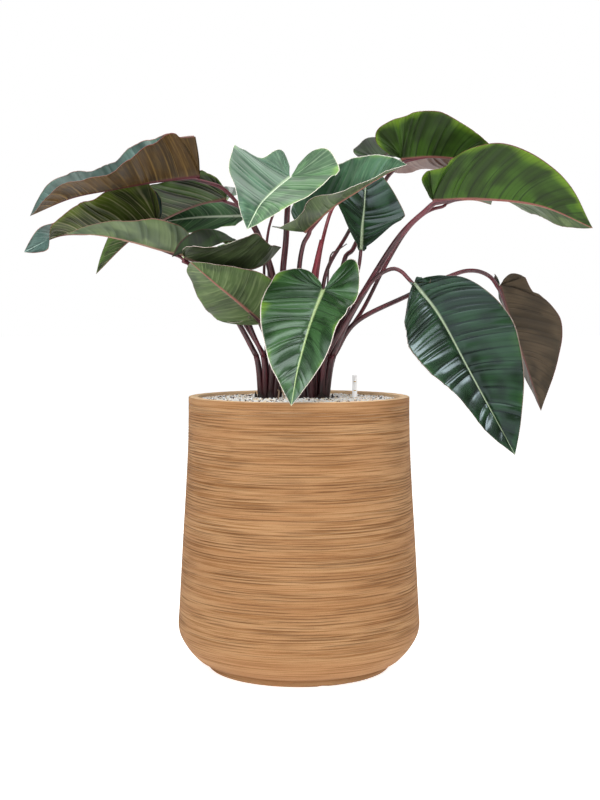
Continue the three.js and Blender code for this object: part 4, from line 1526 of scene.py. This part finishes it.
@dataclass
class Planter:
    """The turned clay planter with combed grooves round its wall."""

    height: float = 466
    rim_radius: float = 190
    rim_width: float = 17
    rim_edge: float = 2
    rim_turns: Spread = (0, 22, 45, 68, 90)
    bore_rings: Spread = (440, 400, 300, 200, 110)
    floor_top: float = 34
    floor_radius: float = 168
    floor_bevel: float = 14
    middle_radius: float = 80
    foot_radius: float = 158
    foot_rings: Spread = (1, 5, 9, 13)
    foot_height: float = 14
    sides: int = 160
    ring_step: float = 0.9
    nicks: tuple[Point, ...] = ((39, 4.5, 4.0), (80, 2.6, 2.2))
    nick_height: float = 4.5
    nick_back: float = -100
    groove_depth: float = 1.2
    groove_pitch: float = 4.8
    groove_width: float = 0.2
    groove_seed: float = 3.7
    groove_wall: float = 4
    groove_bottom: float = 30
    groove_top: float = 452
    groove_start: float = 0.06
    groove_stop: float = 0.006
    combs: tuple[Comb, ...] = (Comb(0.0, 1.0, 1.0), Comb(5.0, 0.55, 0.55))
    sway: float = 1.7
    gap: float = 1.2
    breaks: Limits = (0.42, 0.58)
    noise_shifts: Point = (0.0, 3.0, 9.0)
    noise_scales: tuple[Point, ...] = ((7, 7, 9), (2.5, 2.5, 70), (9, 9, 120))
    wall: tuple[Pair, ...] = (
        (167, 14), (176, 16), (185.5, 25), (193.2, 34), (199.2, 43), (204.3, 52), (207.7, 61),
        (209.4, 74), (208, 97), (204, 168), (200, 235), (195.5, 305), (191.7, 375), (190.3, 425),
        (190, 464),
    )

    def profile(self) -> Array:
        """Works out the rings, from the underside round to the floor.

        Returns:
            The radius and height of every ring.
        """
        wall = SmoothCurve(self.wall, open_ended=False)
        rings = wall.at(wall.share_at(np.arange(0, wall.length, self.ring_step)))
        turn = np.radians(self.rim_turns)[:, None]
        corner = self.rim_edge * np.hstack([np.cos(turn), np.sin(turn)])
        bore, top = self.rim_radius - self.rim_width, self.height - self.rim_edge
        outer = (self.rim_radius - self.rim_edge, top) + corner
        inner = (bore + self.rim_edge, top) + corner[::-1] * (-1, 1)
        inside = [(bore, height) for height in self.bore_rings] + [
            (self.floor_radius, self.floor_top + self.floor_bevel),
            (self.floor_radius - self.floor_bevel, self.floor_top),
            (self.middle_radius, self.floor_top),
        ]
        foot = [(self.middle_radius, 0), (self.foot_radius - 1, 0)]
        foot += [(self.foot_radius, height) for height in self.foot_rings]
        foot.append((self.foot_radius + 1, self.foot_height))
        return np.vstack([foot, rings, outer, inner, inside])

    def build(self) -> None:
        """Makes the planter's mesh and dresses it."""
        radius, height = np.split(self.profile(), 2, axis=1)
        points = turned(radius, height, around(self.sides))
        for x, width, depth in self.nicks:
            near = np.exp(-(((points[..., 0] - x) / width) ** 2) - (height / self.nick_height) ** 2)
            points[..., 1] += np.where(points[..., 1] < self.nick_back, near * depth, 0)
        data, clay = MeshData(), ClayFinish().material()
        data.add_tube(points)
        settle(self._combed(data.to_object("pot", clay), clay), "clay", "planter")

    def _combed(self, piece: bpy.types.Object, clay: bpy.types.Material) -> bpy.types.Object:
        """Cuts the grooves into the wall with a node tree.

        Args:
            piece: The plain planter.
            clay: The planter's material.

        Returns:
            The planter with its grooves.
        """
        tree = GeometryTree("combed_grooves", {
            "Depth": self.groove_depth * MM, "Width": self.groove_width,
            "Pitch": self.groove_pitch * MM, "Seed": self.groove_seed,
            "Bottom": self.groove_bottom * MM, "Top": self.groove_top * MM,
            "Inner Radius": (self.rim_radius - self.rim_width + self.groove_wall) * MM,
            "Material": clay,
        })
        entry, place = tree.entry, tree.add("GeometryNodeInputPosition")
        radius, height = tree.off_axis(place)
        lines = [self._lines(tree, place, height, comb) for comb in self.combs]
        full = tree.math("ADD", entry["Bottom"], self.groove_start)
        none = tree.math("ADD", entry["Top"], self.groove_stop)
        cut = tree.times(
            tree.math("MAXIMUM", *lines), tree.ease(height, (entry["Bottom"], full)),
            tree.ease(height, (entry["Top"], none), 1.0, 0.0),
            tree.math("GREATER_THAN", radius, entry["Inner Radius"]),
        )
        kept = tree.stored(entry["Geometry"], "groove", cut, "POINT")
        inward = tree.add("ShaderNodeVectorMath", {
            0: tree.add("GeometryNodeInputNormal"), "Scale": tree.times(cut, entry["Depth"], -1.0),
        }, operation="SCALE")
        return tree.apply(tree.moved(kept, inward), piece)

    def _lines(self, tree: GeometryTree, place: Any, height: Any, comb: Comb) -> Any:
        """Draws one set of grooves, which sway, crowd and break off by noise.

        Args:
            tree: The node tree.
            place: Where each point of the wall is.
            height: How high it is.
            comb: The set of grooves.

        Returns:
            The socket of how deep the set is, from 0 to its strength.
        """
        noises = []
        for shift, scale in zip(self.noise_shifts, self.noise_scales):
            seed = tree.math("ADD", tree.entry["Seed"], comb.shift + shift)
            inputs = {"Vector": tree.vector("MULTIPLY", place, scale), "W": seed, "Scale": 1.0,
                      "Detail": 1.0}
            noises.append(tree.add("ShaderNodeTexNoise", inputs, noise_dimensions="4D"))
        sway, gap, breaks = noises
        phase = tree.math("DIVIDE", height, tree.times(tree.entry["Pitch"], comb.pitch))
        phase = tree.math("MULTIPLY_ADD", sway, self.sway, phase)
        phase = tree.math("MULTIPLY_ADD", gap, self.gap, phase)
        line = tree.math("PINGPONG", phase, 0.5)
        line = tree.ease(line, (0.0, tree.entry["Width"]), comb.strength, 0.0)
        return tree.times(line, tree.ease(breaks, self.breaks))


@dataclass
class Granules:
    """The loose granules on top of the planter's fill."""

    radius: float = 170.5
    level: float = 458.6
    crown: float = 3.0
    spacing: float = 3.9
    size: float = 2.7
    seed: int = 11
    crowding: float = 4.0
    edge_points: int = 96
    jitter: Pair = (-0.0007, 0.0009)
    whole_turn: float = 6.28
    least_scale: Point = (0.7, 0.7, 0.6)
    greatest_scale: Point = (1.25, 1.25, 1.1)

    def build(self) -> None:
        """Scatters the granules with a node tree and dresses them."""
        tree = GeometryTree("scattered_granules", {
            "Radius": self.radius * MM, "Level": self.level * MM, "Crown": self.crown * MM,
            "Spacing": self.spacing * MM, "Size": self.size * MM, "Seed": self.seed,
            "Material": StoneFinish().material(),
        })
        entry = tree.entry
        disc = tree.add("GeometryNodeMeshCircle", {
            "Vertices": self.edge_points, "Radius": entry["Radius"],
        }, fill_type="NGON")
        density = tree.math("DIVIDE", self.crowding, tree.math("POWER", entry["Spacing"], 2.0))
        points = tree.add("GeometryNodeDistributePointsOnFaces", {
            "Mesh": disc, "Distance Min": entry["Spacing"], "Density Max": density,
            "Seed": entry["Seed"],
        }, distribute_method="POISSON")
        place = tree.add("GeometryNodeInputPosition")
        share = tree.math("DIVIDE", tree.vector("LENGTH", place).outputs["Value"], entry["Radius"])
        crown = tree.times(entry["Crown"], tree.math("SUBTRACT", 1.0, share))
        height = tree.math("ADD", tree.math("ADD", entry["Level"], crown),
                           self._random(tree, 1, *self.jitter))
        lifted = tree.moved(points, tree.add("ShaderNodeCombineXYZ", {2: height}))
        stone = {"Radius": entry["Size"], "Subdivisions": 1}
        placed = tree.add("GeometryNodeInstanceOnPoints", {
            "Points": lifted, "Instance": tree.add("GeometryNodeMeshIcoSphere", stone),
            "Rotation": self._random(tree, 2, (0, 0, 0), (self.whole_turn,) * 3),
            "Scale": self._random(tree, 3, self.least_scale, self.greatest_scale),
        })
        toned = tree.stored(placed, "tone", self._random(tree, 4, 0.0, 1.0), "INSTANCE")
        name = "loose_granules"
        piece = in_scene(bpy.data.objects.new(name, bpy.data.meshes.new(name)))
        settle(tree.apply(toned, piece), "stones")

    def _random(self, tree: GeometryTree, draw: int, low: Any, high: Any) -> Any:
        """Gives each granule its own random number or vector.

        Args:
            tree: The node tree.
            draw: What tells this draw from the others.
            low: The least value.
            high: The greatest value.

        Returns:
            The socket of the value.
        """
        kind, first, out = ("FLOAT_VECTOR", 0, 0) if isinstance(low, tuple) else ("FLOAT", 2, 1)
        seed = tree.math("ADD", tree.entry["Seed"], float(draw))
        inputs = {first: low, first + 1: high, "Seed": seed}
        return tree.add("FunctionNodeRandomValue", inputs, data_type=kind).outputs[out]


@dataclass
class Gauge:
    """The water level gauge: a clear sleeve with two printed marks."""

    place: Pair = (98, 44)
    radius: float = 4.3
    bore: float = 3
    bottom: float = 46
    top: float = 500
    cap: float = 2
    edge: float = 0.5
    pole: float = 0.01
    sides: int = 32
    merge: float = 0.05
    marks: Spread = (488.5, 473.0)
    mark_turn: float = -90
    mark_sweep: float = 32.0
    mark_height: float = 1.4
    mark_points: int = 9
    mark_shells: Pair = (0.25, 0.02)

    def build(self) -> None:
        """Makes the sleeve and its marks and dresses them."""
        under_cap = self.top - self.cap
        rings = np.array([
            (self.bore, self.bottom), (self.radius, self.bottom),
            (self.radius, self.top - self.edge), (self.radius - self.edge, self.top),
            (self.pole, self.top), (self.pole, under_cap), (self.bore, under_cap),
        ])
        sleeve = MeshData()
        radius, height = rings[:, :1], rings[:, 1:]
        count = sleeve.add_points(turned(radius, height, around(self.sides), self.place))
        sleeve.add_quads(np.pad(count, ((0, 1), (0, 1)), mode="wrap"))
        piece = sleeve.to_object("gauge_sleeve", CLEAR.material(), merge=self.merge)
        settle(piece, "clear_tube", "gauge_tube")
        marks, turn, sweep = MeshData(), self.mark_turn, self.mark_sweep
        angle = np.radians(np.linspace(turn - sweep, turn + sweep, self.mark_points))
        for middle in self.marks:
            height = middle + self.mark_height / 2 * np.array([[-1], [1]])
            marks.add_sheet(*(turned(self.radius + proud, height, angle, self.place)
                              for proud in self.mark_shells))
        settle(marks.to_object("gauge_marks", PRINT.material()), "clear_tube")


@dataclass(frozen=True)
class Lamp:
    """A soft square light that faces the plant, with its place and side in metres."""

    name: str
    place: Point
    size: float
    power: float
    aim: Point = (0, 0, 0.55)

    def build(self) -> None:
        """Hangs the light."""
        data = bpy.data.lights.new(self.name, "AREA")
        data.size, data.energy = self.size, self.power
        light = in_scene(bpy.data.objects.new(self.name, data))
        light.location = self.place
        aim = Vector(self.aim) - Vector(self.place)
        light.rotation_euler = aim.to_track_quat("-Z", "Y").to_euler()


@dataclass
class Studio:
    """The floor, the lights and the camera, in metres and radians."""

    camera_place: Point = (0.0017, -2.24, 0.60)
    camera_pitch: float = 0.063
    lens: float = 58.5
    sensor: float = 36
    floor_rings: Spread = (0.8, 4.0, 16.0, 40.0)
    floor_sides: int = 96
    floor_height: float = -0.0005
    floor_glow: float = 0.75
    floor_noise: Noise = (1.5, 2)
    floor_roughness: float = 0.9
    seen_sky: float = 1.0
    front_sky: float = 0.2
    back_sky: float = 0.5
    sky_limits: Limits = (0.1, 0.8)
    sky_tilt: float = 0.3
    lamps: tuple[Lamp, ...] = (
        Lamp("key", (-1.4, -2.3, 1.9), 3.4, 84),
        Lamp("top", (0.0, -0.5, 2.8), 1.8, 46),
        Lamp("front", (1.6, -2.2, 1.4), 0.6, 16),
        Lamp("side", (1.8, -0.5, 2.0), 0.8, 14),
        Lamp("back", (0.4, 1.9, 2.5), 1.6, 10),
    )

    def build(self) -> None:
        """Sets everything up round the plant."""
        scene = bpy.context.scene
        scene.view_settings.view_transform = "Standard"
        self._floor()
        self._sky()
        for lamp in self.lamps:
            lamp.build()
        data = bpy.data.cameras.new("camera")
        data.lens, data.sensor_width = self.lens, self.sensor
        camera = in_scene(bpy.data.objects.new("camera", data))
        camera.location = self.camera_place
        camera.rotation_euler = (math.pi / 2 - self.camera_pitch, 0, 0)
        scene.camera = camera

    def _sky(self) -> None:
        """Makes the soft surroundings: bright behind and above, dimmer in front."""
        world = bpy.data.worlds.new("studio")
        bpy.context.scene.world = world
        world.use_nodes = True
        nodes = Nodes(world.node_tree)
        way = nodes.add("ShaderNodeTexCoord").outputs["Generated"]
        _, y, z = nodes.axes(way)
        back = nodes.math("MULTIPLY_ADD", z, self.sky_tilt, y)
        level = nodes.ease(back, self.sky_limits, self.front_sky, self.back_sky)
        seen = nodes.add("ShaderNodeLightPath").outputs["Is Camera Ray"]
        background = world.node_tree.nodes["Background"].inputs
        background["Color"].default_value = linear("ffffff")
        level = nodes.math("MAXIMUM", level, nodes.times(seen, self.seen_sky))
        nodes.feed(background["Strength"], level)

    def _floor(self) -> None:
        """Makes the plain pale floor."""
        data, rings = MeshData(), np.array(self.floor_rings)[:, None]
        points = turned(rings, self.floor_height, around(self.floor_sides)) / MM
        count = data.add_points(points)
        data.add_quads(np.hstack([count, count[:, :1]]), flip=True)
        data.add_cap(count[0])
        skin = Skin("floor")
        colour = skin.mix(skin.noise(skin.place, *self.floor_noise), "f6f5f3", "f2f1ee")
        material = skin.finish(colour, self.floor_roughness, Emission_Color=linear("ffffff"),
                               Emission_Strength=self.floor_glow)
        data.to_object("floor", material)


CLUMPS = (
    Clump(
        "left", (-52, 10), 22,
        husks=(
            Husk((-52, 8), 21, 22, -130, 95), Husk((-50, 8), 22, 14, -70, 80),
            Husk((-46, 6), 16, 26, -100, 70), Husk((-56, 12), 20, 20, 170, 90),
            Husk((-52, 12), 21, 20, 70, 120),
        ),
        roots=(
            ((-32, -4, 484), (-29, -14, 480), (-26, -24, 468), (-25, -28, 458)),
            ((-36, -6, 476), (-34, -16, 474), (-35, -24, 466), (-36, -27, 458)),
            ((-30, 2, 474), (-22, -8, 474), (-17, -14, 466), (-14, -18, 458)),
        ),
    ),
    Clump(
        "right", (26, 4), 29,
        husks=(
            Husk((27, 2), 29, 24, -60, 80), Husk((30, 4), 29, 18, -15, 70),
            Husk((22, 4), 28, 17, -125, 80), Husk((26, 6), 29, 22, 90, 140),
        ),
        roots=(
            ((0, -6, 474), (-7, -12, 474), (-10, -20, 466), (-12, -24, 458)),
            ((2, -10, 470), (-2, -20, 469), (-3, -26, 464), (-3, -29, 458)),
        ),
    ),
)


def dress_solids(nodes: dict[str, bpy.types.Object]) -> None:
    """Gives the solids that stay in view their own materials.

    Args:
        nodes: The solids' objects by their nodes' names.
    """
    for name, finish in (("granules", BURIED_GRANULES), ("gauge_float", FLOAT)):
        nodes[name].data.materials.clear()
        nodes[name].data.materials.append(finish.material())


def main() -> None:
    """Builds every piece in order."""
    logging.basicConfig(level=logging.INFO, format="%(name)s: %(message)s")
    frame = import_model()
    dress_solids(frame["nodes"])
    for part in (Planter(), Granules(), Gauge(), *CLUMPS):
        part.build()
    for name, leaf in LEAVES.items():
        blade = Blade(name, leaf)
        blade.build()
        Stalk(blade).build()
    for name, shoot in SHOOTS.items():
        shoot.build(name)
    Studio().build()


if __name__ == "__main__":
    main()
